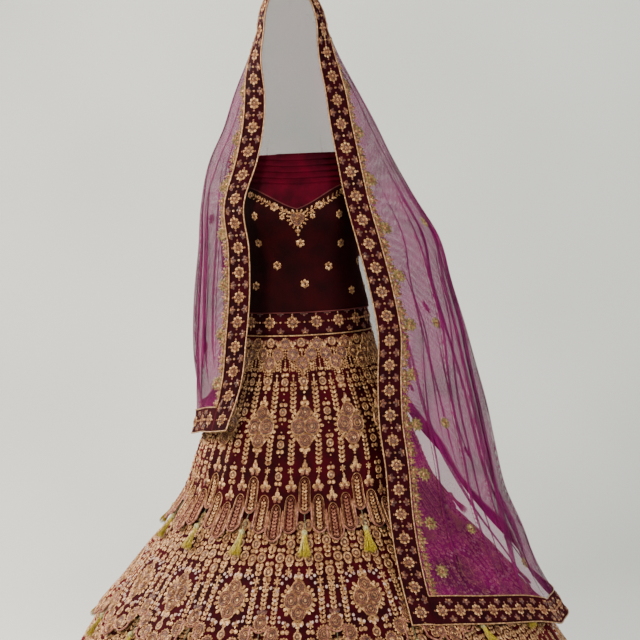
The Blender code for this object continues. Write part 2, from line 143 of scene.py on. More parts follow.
Flare = namedtuple("Flare", "height half_width half_depth")
FLARE = (
    Flare(0.020, 0.146, 0.112),
    Flare(-0.050, 0.156, 0.122),
    Flare(-0.140, 0.177, 0.148),
    Flare(-0.200, 0.202, 0.175),
    Flare(-0.310, 0.250, 0.226),
    Flare(-0.420, 0.290, 0.268),
    Flare(-0.490, 0.335, 0.313),
    Flare(-0.535, 0.377, 0.355),
    Flare(-0.580, 0.415, 0.394),
    Flare(-0.630, 0.455, 0.435),
    Flare(-0.700, 0.507, 0.488),
    Flare(-0.800, 0.571, 0.555),
    Flare(-0.900, 0.625, 0.612),
    Flare(-1.060, 0.700, 0.690),
)
HIP_HEIGHT = -0.200
HIP_REACH = 0.150
HIP_SPREAD = 0.067
HIP_TURN = 0.6

Flute = namedtuple("Flute", "angle_deg width_deg depth")
FLUTES = (
    Flute(-168, 9, 0.013),
    Flute(-141, 8, 0.010),
    Flute(-117, 9, 0.015),
    Flute(-88, 7, 0.012),
    Flute(-66, 7, 0.014),
    Flute(-41, 8, 0.009),
    Flute(-17, 7, 0.007),
    Flute(12, 8, 0.008),
    Flute(37, 7, 0.011),
    Flute(62, 8, 0.013),
    Flute(91, 7, 0.012),
    Flute(116, 9, 0.014),
    Flute(146, 8, 0.011),
)
FLUTE_TOP = -0.260
FLUTE_REACH = 0.800

# A drape fold runs down the skirt from its top to its foot and leans by lean_deg on the way.
Fold = namedtuple("Fold", "angle_deg lean_deg width_deg depth top foot")
FOLDS = (
    Fold(-34, -12, 3.2, 0.0050, -0.10, -0.46),
    Fold(-52, -8, 3.0, 0.0045, -0.16, -0.50),
    Fold(-11, -3, 2.6, 0.0025, -0.22, -0.47),
    Fold(24, 7, 3.0, 0.0030, -0.14, -0.48),
    Fold(47, 9, 3.4, 0.0045, -0.12, -0.50),
    Fold(75, 4, 3.0, 0.0040, -0.18, -0.46),
    Fold(104, -5, 3.2, 0.0050, -0.12, -0.50),
    Fold(139, 6, 3.0, 0.0040, -0.15, -0.47),
    Fold(172, -4, 3.4, 0.0045, -0.12, -0.49),
    Fold(-149, 5, 3.0, 0.0040, -0.16, -0.50),
    Fold(-121, -6, 3.2, 0.0050, -0.13, -0.47),
    Fold(-84, -5, 2.8, 0.0040, -0.15, -0.49),
    Fold(-72, -3, 2.2, 0.0050, -0.52, -1.00),
    Fold(-30, 3, 2.0, 0.0045, -0.56, -1.04),
    Fold(1, -2, 2.0, 0.0040, -0.60, -1.05),
    Fold(28, 3, 2.2, 0.0050, -0.58, -1.02),
    Fold(81, -3, 2.2, 0.0055, -0.54, -1.04),
    Fold(128, 4, 2.4, 0.0050, -0.58, -1.00),
    Fold(160, -3, 2.0, 0.0045, -0.55, -1.05),
    Fold(-132, 3, 2.2, 0.0050, -0.56, -1.02),
    Fold(-104, -2, 2.0, 0.0045, -0.60, -1.05),
)
FOLD_FADE = 0.09


def flutes_and_folds(angle, height):
    """How far the flutes and the drape folds push the skirt out."""
    degrees = np.degrees(angle)
    grown = ease((FLUTE_TOP - height) / FLUTE_REACH)
    pushed = grown * sum(
        flute.depth * np.exp(-((turned(degrees - flute.angle_deg) / flute.width_deg) ** 2))
        for flute in FLUTES
    )
    for fold in FOLDS:
        down = (fold.top - height) / (fold.top - fold.foot)
        held = ease((fold.top - height) / FOLD_FADE) * ease((height - fold.foot) / FOLD_FADE)
        off_line = turned(degrees - fold.angle_deg - fold.lean_deg * np.clip(down, 0, 1))
        pushed = pushed + fold.depth * held * np.exp(-((off_line / fold.width_deg) ** 2))
    return pushed


def skirt(angle, height, out):
    """Points off the skirt's flare."""
    angle, height, out = np.broadcast_arrays(angle, height, out)
    half_width = read(FLARE, height, "half_width")
    half_depth = read(FLARE, height, "half_depth")
    spread = HIP_SPREAD * np.exp(-(((height - HIP_HEIGHT) / HIP_REACH) ** 2))
    turn = angle + spread * (np.sin(2 * angle) + HIP_TURN)
    base = np.stack([half_width * np.sin(turn), -half_depth * np.cos(turn), height], -1)
    away = unit(np.stack([np.sin(turn) / half_width, -np.cos(turn) / half_depth, 0 * turn], -1))
    return base + away * (out + flutes_and_folds(angle, height))[..., None]


print("hem girth about", round(2 * math.pi * FLARE[-1].half_width, 2), "m")

# %% [markdown]
# Each tier hangs over the next. Its lower edge is a row of round-ended tabs that step down from a
# notch, where a tassel hangs, to the middle of the scallop and up again. The tabs of one scallop
# are named by their share of a repeat, with the drop of each tip below the notch.

# %% Form of the tiers
Tab = namedtuple("Tab", "share tip")
TABS = (Tab(0.00, 0.004), Tab(0.25, 0.041), Tab(0.50, 0.056), Tab(0.75, 0.041))
TAB_ROUND = 0.013
SCALLOP_DROP = 0.054

Tier = namedtuple("Tier", "name top seat notch repeats notch_deg tuck")
TIER_1 = Tier("tier_1", BAND_BOTTOM - SEAM_GAP, -0.385, -0.424, 15, -2.4, 0.0)
TIER_2 = Tier("tier_2", -0.385, -0.600, -0.640, 18, 5.8, VELVET + 0.0012)
TIER_3_TOP = -0.600
TIER_3_TUCK = VELVET + 0.0018
TIER_3_REPEATS = 20
TIER_3_START_DEG = -4.2


def tier_surface(tier):
    """place(angle, height, out): a point off the outside of a tier's velvet."""
    def place(angle, height, out=0.0):
        stood = ease((tier.seat - height) / (tier.seat - tier.notch + SCALLOP_DROP))
        tuck = tier.tuck * ease((height - tier.seat) / (tier.top - tier.seat))
        return skirt(angle, height, TIER_CLEAR + TIER_STAND * stood - tuck + VELVET + out)

    return place


def tier_3_surface(angle, height, out=0.0):
    up = (height - FLOOR) / (TIER_3_TOP - FLOOR)
    return skirt(angle, height, TIER_CLEAR - TIER_3_TUCK * up + VELVET + out)


def tab_edge(share):
    """How far a scalloped edge lies below its notch at shares of a repeat."""
    number = np.rint(np.asarray(share) * len(TABS)).astype(int)
    across = (share * len(TABS) - number) * 2
    tips = np.array([tab.tip for tab in TABS])[number % len(TABS)]
    return tips - TAB_ROUND * across**2


def share_angle(tier, share):
    return math.radians(tier.notch_deg) + 2 * math.pi * share / tier.repeats


tier_1_surface = tier_surface(TIER_1)
tier_2_surface = tier_surface(TIER_2)
print("tabs on the tiers:", len(TABS) * (TIER_1.repeats + TIER_2.repeats))

# %% [markdown]
# The choli is cut with cups and a sweetheart neckline, on a torso given by its half width and its
# depth to the front and to the back.

# %% Form of the choli and yoke
Torso = namedtuple("Torso", "height half_width front back")
TORSO = (
    Torso(0.000, 0.1492, 0.1162, 0.1162),
    Torso(0.014, 0.1480, 0.1148, 0.1148),
    Torso(0.050, 0.1400, 0.1110, 0.1060),
    Torso(0.100, 0.1310, 0.1080, 0.0980),
    Torso(0.150, 0.1330, 0.1160, 0.1000),
    Torso(0.200, 0.1400, 0.1290, 0.1050),
    Torso(0.240, 0.1450, 0.1330, 0.1090),
    Torso(0.290, 0.1480, 0.1250, 0.1120),
    Torso(0.330, 0.1480, 0.1120, 0.1120),
    Torso(0.365, 0.1450, 0.1020, 0.1100),
)
CHOLI_HEM = 0.001
NECK_POINT = 0.238
NECK_SIDE = 0.290
NECK_HALF_WIDTH = 0.105
UNDERARM = 0.272
YOKE_TOP = 0.362
YOKE_TUCK = 0.012
YOKE_CLOTH = 0.0012
PLEAT_BASE = 0.294
YOKE_PLEATS = 5
PLEAT_DEPTH = 0.0065
CHOLI_OUT = TIER_CLEAR + VELVET + LAYER_GAP
CUP_ANGLE = math.radians(31)
CUP_HEIGHT = 0.222
CUP_DEPTH = 0.015
CUP_SPREAD = math.radians(17)
CUP_RISE = 0.040


def torso(angle, height, out):
    """Points off the torso that the choli is cut for."""
    angle, height, out = np.broadcast_arrays(angle, height, out)
    half_width = read(TORSO, height, "half_width")
    front = read(TORSO, height, "front")
    depth = np.where(np.cos(angle) > 0, front, read(TORSO, height, "back"))
    base = np.stack([half_width * np.sin(angle), -depth * np.cos(angle), height], -1)
    away = unit(np.stack([np.sin(angle) / half_width, -np.cos(angle) / depth, 0 * angle], -1))
    cup = sum(np.exp(-(((angle - side * CUP_ANGLE) / CUP_SPREAD) ** 2)) for side in (-1, 1))
    cup = cup * np.exp(-(((height - CUP_HEIGHT) / CUP_RISE) ** 2))
    return base + away * (out + CUP_DEPTH * cup)[..., None]


def neckline(angle):
    """Height of the sweetheart neckline: a point at the middle, high beside it, then down."""
    half_width = read(TORSO, NECK_SIDE, "half_width")
    x = np.abs(half_width * np.sin(angle))
    share = np.clip(x / NECK_HALF_WIDTH, 0, 1)
    inner = NECK_POINT + (NECK_SIDE - NECK_POINT) * (share + ease(share)) / 2
    fallen = ease((x - NECK_HALF_WIDTH) / (half_width - NECK_HALF_WIDTH))
    outer = NECK_SIDE + (UNDERARM - NECK_SIDE) * fallen
    front = np.where(x < NECK_HALF_WIDTH, inner, outer)
    return np.where(np.cos(angle) <= 0, UNDERARM, front)


# A drag line of the choli is a soft ridge where the velvet is drawn in at the waist.
Drag = namedtuple("Drag", "angle_deg height width_deg rise depth slope")
DRAGS = (
    Drag(-58, 0.060, 22, 0.010, 0.0022, 0.05),
    Drag(-70, 0.105, 16, 0.008, 0.0018, 0.08),
    Drag(55, 0.050, 24, 0.009, 0.0022, -0.06),
    Drag(72, 0.095, 18, 0.008, 0.0018, -0.07),
    Drag(118, 0.070, 20, 0.010, 0.0020, 0.05),
    Drag(-124, 0.080, 22, 0.010, 0.0020, -0.05),
    Drag(176, 0.055, 26, 0.011, 0.0022, 0.03),
)


def choli_surface(angle, height, out=0.0):
    degrees = np.degrees(angle)
    ridges = 0.0
    for drag in DRAGS:
        across = turned(degrees - drag.angle_deg) / drag.width_deg
        line = drag.height + drag.slope * np.radians(turned(degrees - drag.angle_deg))
        ridge = np.exp(-(across**2)) * np.exp(-(((height - line) / drag.rise) ** 2))
        ridges = ridges + drag.depth * ridge
    return torso(angle, height, CHOLI_OUT + VELVET + ridges + out)


print("choli neckline from", NECK_POINT, "to", NECK_SIDE, "m")

# %% [markdown]
# The dupatta is one length of net. It falls from a rounded crown down both sides, longer on one of
# them, and rounds the back. Its sections at each height are read from a table, and a place on it is
# a column, counted from the front edge to the back, and a row, counted from the crown to the hem.

# %% Form of the dupatta
BORDER_WIDTH = 0.056
BORDER_COLUMNS = 3
LAST_COLUMN = BORDER_COLUMNS + 18
DOME_DROPS = (0.0, 0.006, 0.025, 0.060, 0.110)
DOME_HEIGHT = DOME_DROPS[-1]
DOME_ROW = len(DOME_DROPS) - 1
BORDER_ROW = DOME_ROW + 10
LAST_ROW = BORDER_ROW + 2
SECTION_STEPS = 64
CROWN_HEIGHT = 0.750
CROWN_TOP = -0.030
CROWN_FRONT = -0.105
CROWN_LENGTH = 0.190
CROWN_FRONT_CURVE = 1.0
CROWN_BACK_CURVE = 4.0

Drape = namedtuple(
    "Drape",
    "height left_x left_y left_edge_x left_edge_y back right_x right_y right_edge_x right_edge_y",
)
DRAPE = (
    Drape(0.645, -0.074, -0.010, -0.054, -0.100, 0.105, 0.088, -0.010, 0.061, -0.100),
    Drape(0.580, -0.103, 0.000, -0.064, -0.100, 0.108, 0.115, 0.000, 0.062, -0.100),
    Drape(0.500, -0.139, 0.005, -0.060, -0.103, 0.105, 0.155, 0.005, 0.074, -0.106),
    Drape(0.430, -0.165, 0.010, -0.065, -0.116, 0.112, 0.190, 0.010, 0.081, -0.118),
    Drape(0.350, -0.202, 0.010, -0.083, -0.130, 0.140, 0.225, 0.010, 0.093, -0.130),
    Drape(0.250, -0.221, 0.005, -0.117, -0.150, 0.155, 0.274, 0.010, 0.109, -0.145),
    Drape(0.155, -0.227, 0.000, -0.110, -0.155, 0.155, 0.326, 0.020, 0.131, -0.155),
    Drape(0.050, -0.238, 0.000, -0.113, -0.158, 0.155, 0.349, 0.010, 0.154, -0.168),
    Drape(-0.050, -0.244, -0.010, -0.125, -0.170, 0.175, 0.371, 0.000, 0.168, -0.190),
    Drape(-0.150, -0.247, -0.025, -0.141, -0.188, 0.215, 0.388, 0.000, 0.163, -0.198),
    Drape(-0.250, -0.252, -0.035, -0.178, -0.205, 0.262, 0.407, 0.000, 0.162, -0.214),
    Drape(-0.350, -0.300, -0.020, -0.215, -0.240, 0.312, 0.424, 0.000, 0.171, -0.245),
    Drape(-0.450, -0.390, 0.000, -0.250, -0.280, 0.365, 0.444, 0.000, 0.174, -0.297),
    Drape(-0.550, -0.460, 0.000, -0.280, -0.340, 0.435, 0.486, 0.000, 0.186, -0.364),
    Drape(-0.655, -0.530, 0.000, -0.310, -0.400, 0.515, 0.527, 0.000, 0.208, -0.4240),
    Drape(-0.800, -0.630, 0.000, -0.360, -0.500, 0.615, 0.612, 0.000, 0.235, -0.530),
)
Hem = namedtuple("Hem", "share height")
HEM = (
    Hem(-1.00, -0.250),
    Hem(-0.80, -0.262),
    Hem(-0.60, -0.278),
    Hem(-0.35, -0.215),
    Hem(0.00, -0.060),
    Hem(0.22, -0.220),
    Hem(0.40, -0.600),
    Hem(0.50, -0.745),
    Hem(0.57, -0.757),
    Hem(0.66, -0.714),
    Hem(0.76, -0.681),
    Hem(0.86, -0.657),
    Hem(1.00, -0.650),
)
Crease = namedtuple("Crease", "share width depth start")
CREASES = (
    Crease(-0.72, 0.035, 0.010, 0.40),
    Crease(-0.58, 0.030, 0.012, 0.30),
    Crease(-0.43, 0.035, 0.014, 0.35),
    Crease(-0.26, 0.040, 0.016, 0.45),
    Crease(-0.10, 0.035, 0.014, 0.40),
    Crease(0.08, 0.035, 0.015, 0.45),
    Crease(0.22, 0.035, 0.018, 0.40),
    Crease(0.35, 0.030, 0.020, 0.30),
    Crease(0.47, 0.028, 0.018, 0.20),
    Crease(0.58, 0.026, 0.020, 0.15),
    Crease(0.70, 0.026, 0.014, 0.10),
)
CREASE_REACH = 0.45


def column_distance(column, length):
    """Distance of a column from the front edge: the border's columns first, then even ones."""
    share = (column - BORDER_COLUMNS) / (LAST_COLUMN - BORDER_COLUMNS)
    in_border = BORDER_WIDTH * column / BORDER_COLUMNS
    return np.where(column <= BORDER_COLUMNS, in_border, BORDER_WIDTH + (length - BORDER_WIDTH) * share)


def half_sections(height, side):
    """Points along the level sections of one half at many heights, from front edge to back."""
    across = read(DRAPE, height, f"{side}_x")[:, None]
    along = read(DRAPE, height, f"{side}_y")[:, None]
    start = np.arcsin(read(DRAPE, height, f"{side}_edge_x")[:, None] / across)
    front = (along - read(DRAPE, height, f"{side}_edge_y")[:, None]) / np.cos(start)
    back = read(DRAPE, height, "back")[:, None] - along
    turn = start + (math.pi - start) * np.linspace(0, 1, SECTION_STEPS + 1)
    depth = np.where(turn < math.pi / 2, front, back)
    return np.stack([across * np.sin(turn), along - depth * np.cos(turn)], -1)


def half_points(side, column, row):
    """Points of the dupatta for flat arrays of columns and rows."""
    sign = -1 if side == "left" else 1
    along = CROWN_FRONT + column_distance(column, CROWN_LENGTH)
    curve = np.where(along < CROWN_TOP, CROWN_FRONT_CURVE, CROWN_BACK_CURVE)
    crown = CROWN_HEIGHT - curve * (along - CROWN_TOP) ** 2
    hem = read(HEM, sign * (1 - column / LAST_COLUMN), "height")
    dome_height = crown - np.interp(row, np.arange(DOME_ROW + 1), DOME_DROPS)
    dome_foot = crown - DOME_HEIGHT
    border_top = hem + BORDER_WIDTH
    down = (row - DOME_ROW) / (BORDER_ROW - DOME_ROW)
    body = dome_foot + (border_top - dome_foot) * down
    low = border_top - BORDER_WIDTH * (row - BORDER_ROW) / (LAST_ROW - BORDER_ROW)
    height = np.where(row <= DOME_ROW, dome_height, np.where(row <= BORDER_ROW, body, low))
    section = half_sections(height, side)
    steps = np.diff(section, axis=1)
    lengths = np.linalg.norm(steps, axis=-1)
    gone = np.concatenate([np.zeros((len(lengths), 1)), np.cumsum(lengths, 1)], 1)
    distance = column_distance(column, gone[:, -1])
    pick = np.clip((gone < distance[:, None]).sum(1) - 1, 0, SECTION_STEPS - 1)
    every = np.arange(len(pick))
    part = (distance - gone[every, pick]) / lengths[every, pick]
    point = section[every, pick] + steps[every, pick] * part[:, None]
    direction = unit(steps[every, pick])
    away = np.stack([direction[:, 1], -direction[:, 0]], -1) * sign
    away = np.where((column == LAST_COLUMN)[:, None], (0.0, 1.0), away)
    share = sign * (1 - distance / gone[:, -1])
    pushed = sum(
        crease.depth
        * ease((crease.start - height) / CREASE_REACH)
        * np.exp(-(((share - crease.share) / crease.width) ** 2))
        for crease in CREASES
    )
    point = point + away * (pushed * ease(distance / BORDER_WIDTH - 0.6))[:, None]
    dome = np.sqrt(1 - (1 - np.minimum((crown - height) / DOME_HEIGHT, 1)) ** 2)
    return np.stack([point[:, 0] * dome, along + (point[:, 1] - along) * dome, height], -1)


# The whole net as one table of points: from the right front edge (-LAST_COLUMN) round the back (0)
# to the left front edge (LAST_COLUMN), and from the crown (0) to the hem.
FINE = 8
wrap_columns = np.linspace(-LAST_COLUMN, LAST_COLUMN, 2 * LAST_COLUMN * FINE + 1)
wrap_rows = np.linspace(0, LAST_ROW, LAST_ROW * FINE + 1)
wrap_points = np.empty((len(wrap_columns), len(wrap_rows), 3))
for index, place in enumerate(wrap_columns):
    side = "right" if place < 0 else "left"
    from_edge = np.full(len(wrap_rows), LAST_COLUMN - abs(place))
    wrap_points[index] = half_points(side, from_edge, wrap_rows)
wrap_normals = np.cross(np.gradient(wrap_points, axis=0), -np.gradient(wrap_points, axis=1))
# On the crown's ridge the two halves meet, and the outward direction there is straight up.
wrap_normals[:, 0] = wrap_normals[:, 1] * (0, 1, 1)
wrap_normals = unit(wrap_normals)


def look_up(table, place, row):
    """Reads a table of points between its own points."""
    i = np.clip((place + LAST_COLUMN) * FINE, 0, len(wrap_columns) - 1.001)
    j = np.clip(row * FINE, 0, len(wrap_rows) - 1.001)
    low_i = i.astype(int)
    low_j = j.astype(int)
    s = (i - low_i)[..., None]
    t = (j - low_j)[..., None]
    near = table[low_i, low_j] * (1 - t) + table[low_i, low_j + 1] * t
    far = table[low_i + 1, low_j] * (1 - t) + table[low_i + 1, low_j + 1] * t
    return near * (1 - s) + far * s


def net_surface(place, up, out=0.0):
    """Points off the net: place runs from the right front edge by the back to the left, up is -row."""
    place, up, out = np.broadcast_arrays(np.asarray(place, float), np.asarray(up, float), out)
    lift = out[..., None] * unit(look_up(wrap_normals, place, -up))
    return look_up(wrap_points, place, -up) + lift


def edge_surface(column, along, out=0.0):
    """Points off the net near its front edge: along runs from the right corner (-) over the crown."""
    column, along, out = np.broadcast_arrays(np.asarray(column, float), np.asarray(along, float), out)
    side = np.where(along < 0, -1, 1)
    return net_surface(side * (LAST_COLUMN - column), -np.abs(along), out)


print("dupatta's longest fall", round(CROWN_HEIGHT - min(row.height for row in HEM), 2), "m")

# %% [markdown]
# Cloth is made as a flat bmesh grid whose points are then moved to their places on the form. Its
# wall comes from a Solidify modifier. Piping, the thin covered cord along an edge, is the same
# kind of grid rolled round a line of points.

# %% Sheets of cloth and piping
VELVET_WALL = 0.0016
BORDER_WALL = 0.0014
YOKE_WALL = 0.0009
PIPING_SIDES = 6
SEAM_MERGE = 2e-6
NUDGE = 0.001


def flat_grid(columns, rows):
    """A flat grid mesh, and the column and row number of each of its points."""
    bm = bmesh.new()
    bmesh.ops.create_grid(bm, x_segments=columns, y_segments=rows, size=0.5)
    mesh = bpy.data.meshes.new("grid")
    bm.to_mesh(mesh)
    bm.free()
    flat = np.empty(len(mesh.vertices) * 3)
    mesh.vertices.foreach_get("co", flat)
    flat = flat.reshape(-1, 3)
    column = np.rint((flat[:, 0] + 0.5) * columns).astype(int)
    row = np.rint((flat[:, 1] + 0.5) * rows).astype(int)
    return mesh, column, row


def add_piece(name, mesh, finishes, smooth=True):
    """Makes a mesh a piece of the set, with its materials."""
    mesh.name = name
    if smooth:
        mesh.shade_smooth()
    for finish in finishes:
        mesh.materials.append(finish)
    piece = bpy.data.objects.new(name, mesh)
    bpy.context.scene.collection.objects.link(piece)
    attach(piece, "root")
    return piece


def finish_mesh(name, mesh, points, finish):
    """Moves a mesh's points to their places, closes its seams and makes it a piece of the set."""
    mesh.vertices.foreach_set("co", np.ascontiguousarray(points, np.float64).ravel())
    bm = bmesh.new()
    bm.from_mesh(mesh)
    bmesh.ops.remove_doubles(bm, verts=bm.verts, dist=SEAM_MERGE)
    bmesh.ops.dissolve_degenerate(bm, edges=bm.edges, dist=1e-7)
    bm.to_mesh(mesh)
    bm.free()
    return add_piece(name, mesh, [finish])


def make_sheet(name, columns, rows, place, finish, thickness=0.0):
    """A sheet of cloth. place(column, row) gives the points, row 0 at the bottom."""
    mesh, column, row = flat_grid(columns, rows)
    piece = finish_mesh(name, mesh, place(column, row), finish)
    area = sum(face.area for face in mesh.polygons)
    if thickness:
        wall = piece.modifiers.new("wall", "SOLIDIFY")
        wall.thickness = thickness
        wall.offset = -1
    print(name, round(area, 3), "m2 of cloth,", len(piece.data.polygons), "faces")
    return piece, area


def tube(points, outward, half_width, half_height, sides, closed=False):
    """A tube round a line of points, with its half size to each side and its half size outwards."""
    mesh, step, spoke = flat_grid(len(points) - 1, sides)
    along = np.gradient(points, axis=0)
    if closed:
        along[0] = along[-1] = points[1] - points[-2]
    along = unit(along)
    beside = unit(np.cross(outward, along))
    lift = unit(np.cross(along, beside))
    wide, tall, _ = np.broadcast_arrays(half_width, half_height, points[:, 0])
    turn = 2 * np.pi * spoke / sides
    ring = beside[step] * (wide[step] * np.cos(turn))[:, None]
    ring = ring + lift[step] * (tall[step] * np.sin(turn))[:, None]
    mesh.vertices.foreach_set("co", (points[step] + ring).ravel())
    return mesh


def join_tubes(name, tubes, finish, sides):
    """Closes tubes at their seams and ends and makes them one piece of the set."""
    bm = bmesh.new()
    for mesh in tubes:
        bm.from_mesh(mesh)
        bpy.data.meshes.remove(mesh)
    bmesh.ops.remove_doubles(bm, verts=bm.verts, dist=SEAM_MERGE)
    bmesh.ops.holes_fill(bm, edges=bm.edges, sides=sides)
    bmesh.ops.recalc_face_normals(bm, faces=bm.faces)
    joined = bpy.data.meshes.new(name)
    bm.to_mesh(joined)
    bm.free()
    print(name, len(joined.polygons), "faces")
    return add_piece(name, joined, [finish])


def make_piping(name, paths, radius, finish):
    """Round piping along lines of points. Each path is (points, outward directions, closed)."""
    tubes = [
        tube(points, outward, radius, radius, PIPING_SIDES, closed) for points, outward, closed in paths
    ]
    return join_tubes(name, tubes, finish, PIPING_SIDES)


def path_on(surface, u, v, out, closed=False):
    """A line of points off a surface, with the surface's outward directions."""
    points = surface(u, v, out)
    return points, unit(surface(u, v, out + NUDGE) - points), closed


# %% [markdown]
# Every colour is written as the sRGB hex value that the eye would match, and turned to linear
# light for the shader. One helper adds a shader node with its settings and its links.

# %% Colour and node helpers
def linear(hex_colour):
    parts = [int(hex_colour[k : k + 2], 16) / 255 for k in (1, 3, 5)]
    return (*[c / 12.92 if c <= 0.04045 else ((c + 0.055) / 1.055) ** 2.4 for c in parts], 1.0)


def add_node(tree, kind, inputs=None, stops=(), **settings):
    """Adds a node. An input is a value or an output socket to link, and stops colour a ramp."""
    made = tree.nodes.new(kind)
    for key, value in settings.items():
        setattr(made, key, value)
    for key, value in (inputs or {}).items():
        if isinstance(value, bpy.types.NodeSocket):
            tree.links.new(value, made.inputs[key])
        else:
            made.inputs[key].default_value = value
    for number, (position, colour) in enumerate(stops):
        if number > 1:
            made.color_ramp.elements.new(position)
        made.color_ramp.elements[number].position = position
        made.color_ramp.elements[number].color = linear(colour)
    return made


def new_material(name):
    """A material with its node tree, its shader and the coordinates for its patterns."""
    made = bpy.data.materials.new(name)
    made.use_nodes = True
    tree = made.node_tree
    place = add_node(tree, "ShaderNodeTexCoord").outputs["Object"]
    return made, tree, tree.nodes["Principled BSDF"], place


print("mid grey in linear light:", round(linear("#808080")[0], 3))

# %% [markdown]
# Velvet is a cut pile: short upright hairs that swallow light seen straight on and glow where the
# cloth turns away. The dark base colour gives the first, the sheen layer the second. Brushed
# patches of the pile lean differently, which a large soft noise shows, and a fine noise is the
# grain of the pile, drawn at 1 mm because the real hairs are too fine to show.

# %% Velvet
PILE_PER_METRE = 1000
BRUSH_PER_METRE = 22


def velvet(name, deep, brushed, glow, sheen):
    made, tree, shader, place = new_material(name)
    patches = add_node(
        tree, "ShaderNodeTexNoise", {"Vector": place, "Scale": BRUSH_PER_METRE, "Detail": 3.0}
    )
    colour = add_node(
        tree, "ShaderNodeValToRGB", {"Fac": patches.outputs["Fac"]}, [(0.35, deep), (0.68, brushed)]
    )
    pile = add_node(
        tree, "ShaderNodeTexNoise", {"Vector": place, "Scale": PILE_PER_METRE, "Detail": 1.0}
    )
    nap = add_node(
        tree, "ShaderNodeBump", {"Height": pile.outputs["Fac"], "Strength": 0.5, "Distance": 0.0006}
    )
    tree.links.new(colour.outputs["Color"], shader.inputs["Base Color"])
    tree.links.new(nap.outputs["Normal"], shader.inputs["Normal"])
    shader.inputs["Roughness"].default_value = 0.82
    shader.inputs["Specular IOR Level"].default_value = 0.06
    shader.inputs["Sheen Weight"].default_value = sheen
    shader.inputs["Sheen Roughness"].default_value = 0.32
    shader.inputs["Sheen Tint"].default_value = linear(glow)
    return made


maroon_velvet = velvet("maroon_velvet", "#1c0003", "#340007", "#d80040", 0.6)
choli_velvet = velvet("choli_velvet", "#140001", "#220002", "#80001c", 0.35)
border_velvet = velvet("border_velvet", "#180003", "#2a0006", "#a80034", 0.4)
print("velvets:", [finish.name for finish in (maroon_velvet, choli_velvet, border_velvet)])

# %% [markdown]
# The embroidery is zari: flat metal strip wound on a core thread, laid in padded satin stitch.
# Its colour is an antique gold that turns rosy where the lac-coated strip has darkened. The metal
# is not smooth, since each stitch tilts its own way, so roughness is middling. Single stitches and
# sequins that catch the light or miss it at a scale of a few millimetres are painted into the
# colour: a noise paints glints and shade onto each thread, and a fine wave bump breaks the
# highlights into glints. The stitches are drawn 1.2 mm apart.

# %% Metal thread, beads and silk
STITCHES_PER_METRE = 830
PAINTED_GLINTS_PER_METRE = 150
STREAKS_PER_METRE = 420


def zari(name, dark, middle, light, metallic):
    made, tree, shader, place = new_material(name)
    # Painted glints and painted shade: this noise brightens single stitches and sequins or darkens them
    # in the base colour.
    painted_glints = add_node(
        tree,
        "ShaderNodeTexNoise",
        {"Vector": place, "Scale": PAINTED_GLINTS_PER_METRE, "Detail": 6.0, "Roughness": 0.8},
    )
    # Of the three colours, dark is a painted shade, middle the metal's own tone and light a painted
    # glint.
    colour = add_node(
        tree,
        "ShaderNodeValToRGB",
        {"Fac": painted_glints.outputs["Fac"]},
        [(0.38, dark), (0.5, middle), (0.62, light)],
    )
    stitches = add_node(
        tree, "ShaderNodeTexNoise", {"Vector": place, "Scale": STITCHES_PER_METRE, "Detail": 2.0}
    )
    relief = add_node(
        tree, "ShaderNodeBump", {"Height": stitches.outputs["Fac"], "Strength": 0.9, "Distance": 0.0011}
    )
    tree.links.new(colour.outputs["Color"], shader.inputs["Base Color"])
    tree.links.new(relief.outputs["Normal"], shader.inputs["Normal"])
    shader.inputs["Metallic"].default_value = metallic
    shader.inputs["Roughness"].default_value = 0.4
    return made


# Each thread: its painted shade, its own tone and its painted glint, then how metallic it is.
gold_thread = zari("gold_zari", "#583620", "#a07448", "#e2ba82", 0.7)
rose_thread = zari("rose_gold_zari", "#482416", "#7e4c36", "#b47e5e", 0.6)
pearl_thread = zari("silver_rose_beads", "#7c5a52", "#ae8c80", "#dec8b8", 0.3)
green_gold = zari("olive_gold_zari", "#342a12", "#66542a", "#a08850", 0.5)
ground_thread = zari("dark_ground_zari", "#200804", "#481c0e", "#7c4828", 0.1)
THREADS = [gold_thread, rose_thread, pearl_thread, green_gold, ground_thread]
GOLD, ROSE, PEARL, OLIVE, DARK = range(5)


def silk(name, dark, middle, light):
    """Floss silk: bright, smooth and streaked along its length."""
    made, tree, shader, place = new_material(name)
    drawn = add_node(tree, "ShaderNodeMapping", {"Vector": place, "Scale": (1.0, 1.0, 0.12)})
    streaks = add_node(
        tree,
        "ShaderNodeTexNoise",
        {"Vector": drawn.outputs["Vector"], "Scale": STREAKS_PER_METRE, "Detail": 2.0},
    )
    colour = add_node(
        tree,
        "ShaderNodeValToRGB",
        {"Fac": streaks.outputs["Fac"]},
        [(0.3, dark), (0.5, middle), (0.72, light)],
    )
    tree.links.new(colour.outputs["Color"], shader.inputs["Base Color"])
    shader.inputs["Roughness"].default_value = 0.45
    return made


yellow_silk = silk("yellow_floss_silk", "#5a4800", "#a48a00", "#dcc81c")
cord_silk = silk("sage_cord_silk", "#2a2e14", "#4a4e2c", "#74784c")
bead_finish = silk("cream_thread_bead", "#585024", "#928850", "#c6bc80")
print("threads:", [thread.name for thread in THREADS])

# %% [markdown]
# The yoke is a soft crimson satin-backed velvet in horizontal pleats. The net is magenta tulle:
# one thread in a grid of tiny holes, so that most light passes and the thread only tints it. Its
# threads are drawn 1.6 mm apart, because the real 1 mm mesh is too fine to show.

# %% Yoke cloth and net
NET_PITCH = 0.0016
CLOUDS_PER_METRE = 14
# How much light a thread and a hole stop, and where in a cell the thread starts to thin and ends.
THREAD_ALPHA = 0.97
HOLE_ALPHA = 0.34
THREAD_CORE = 0.06
THREAD_EDGE = 0.22


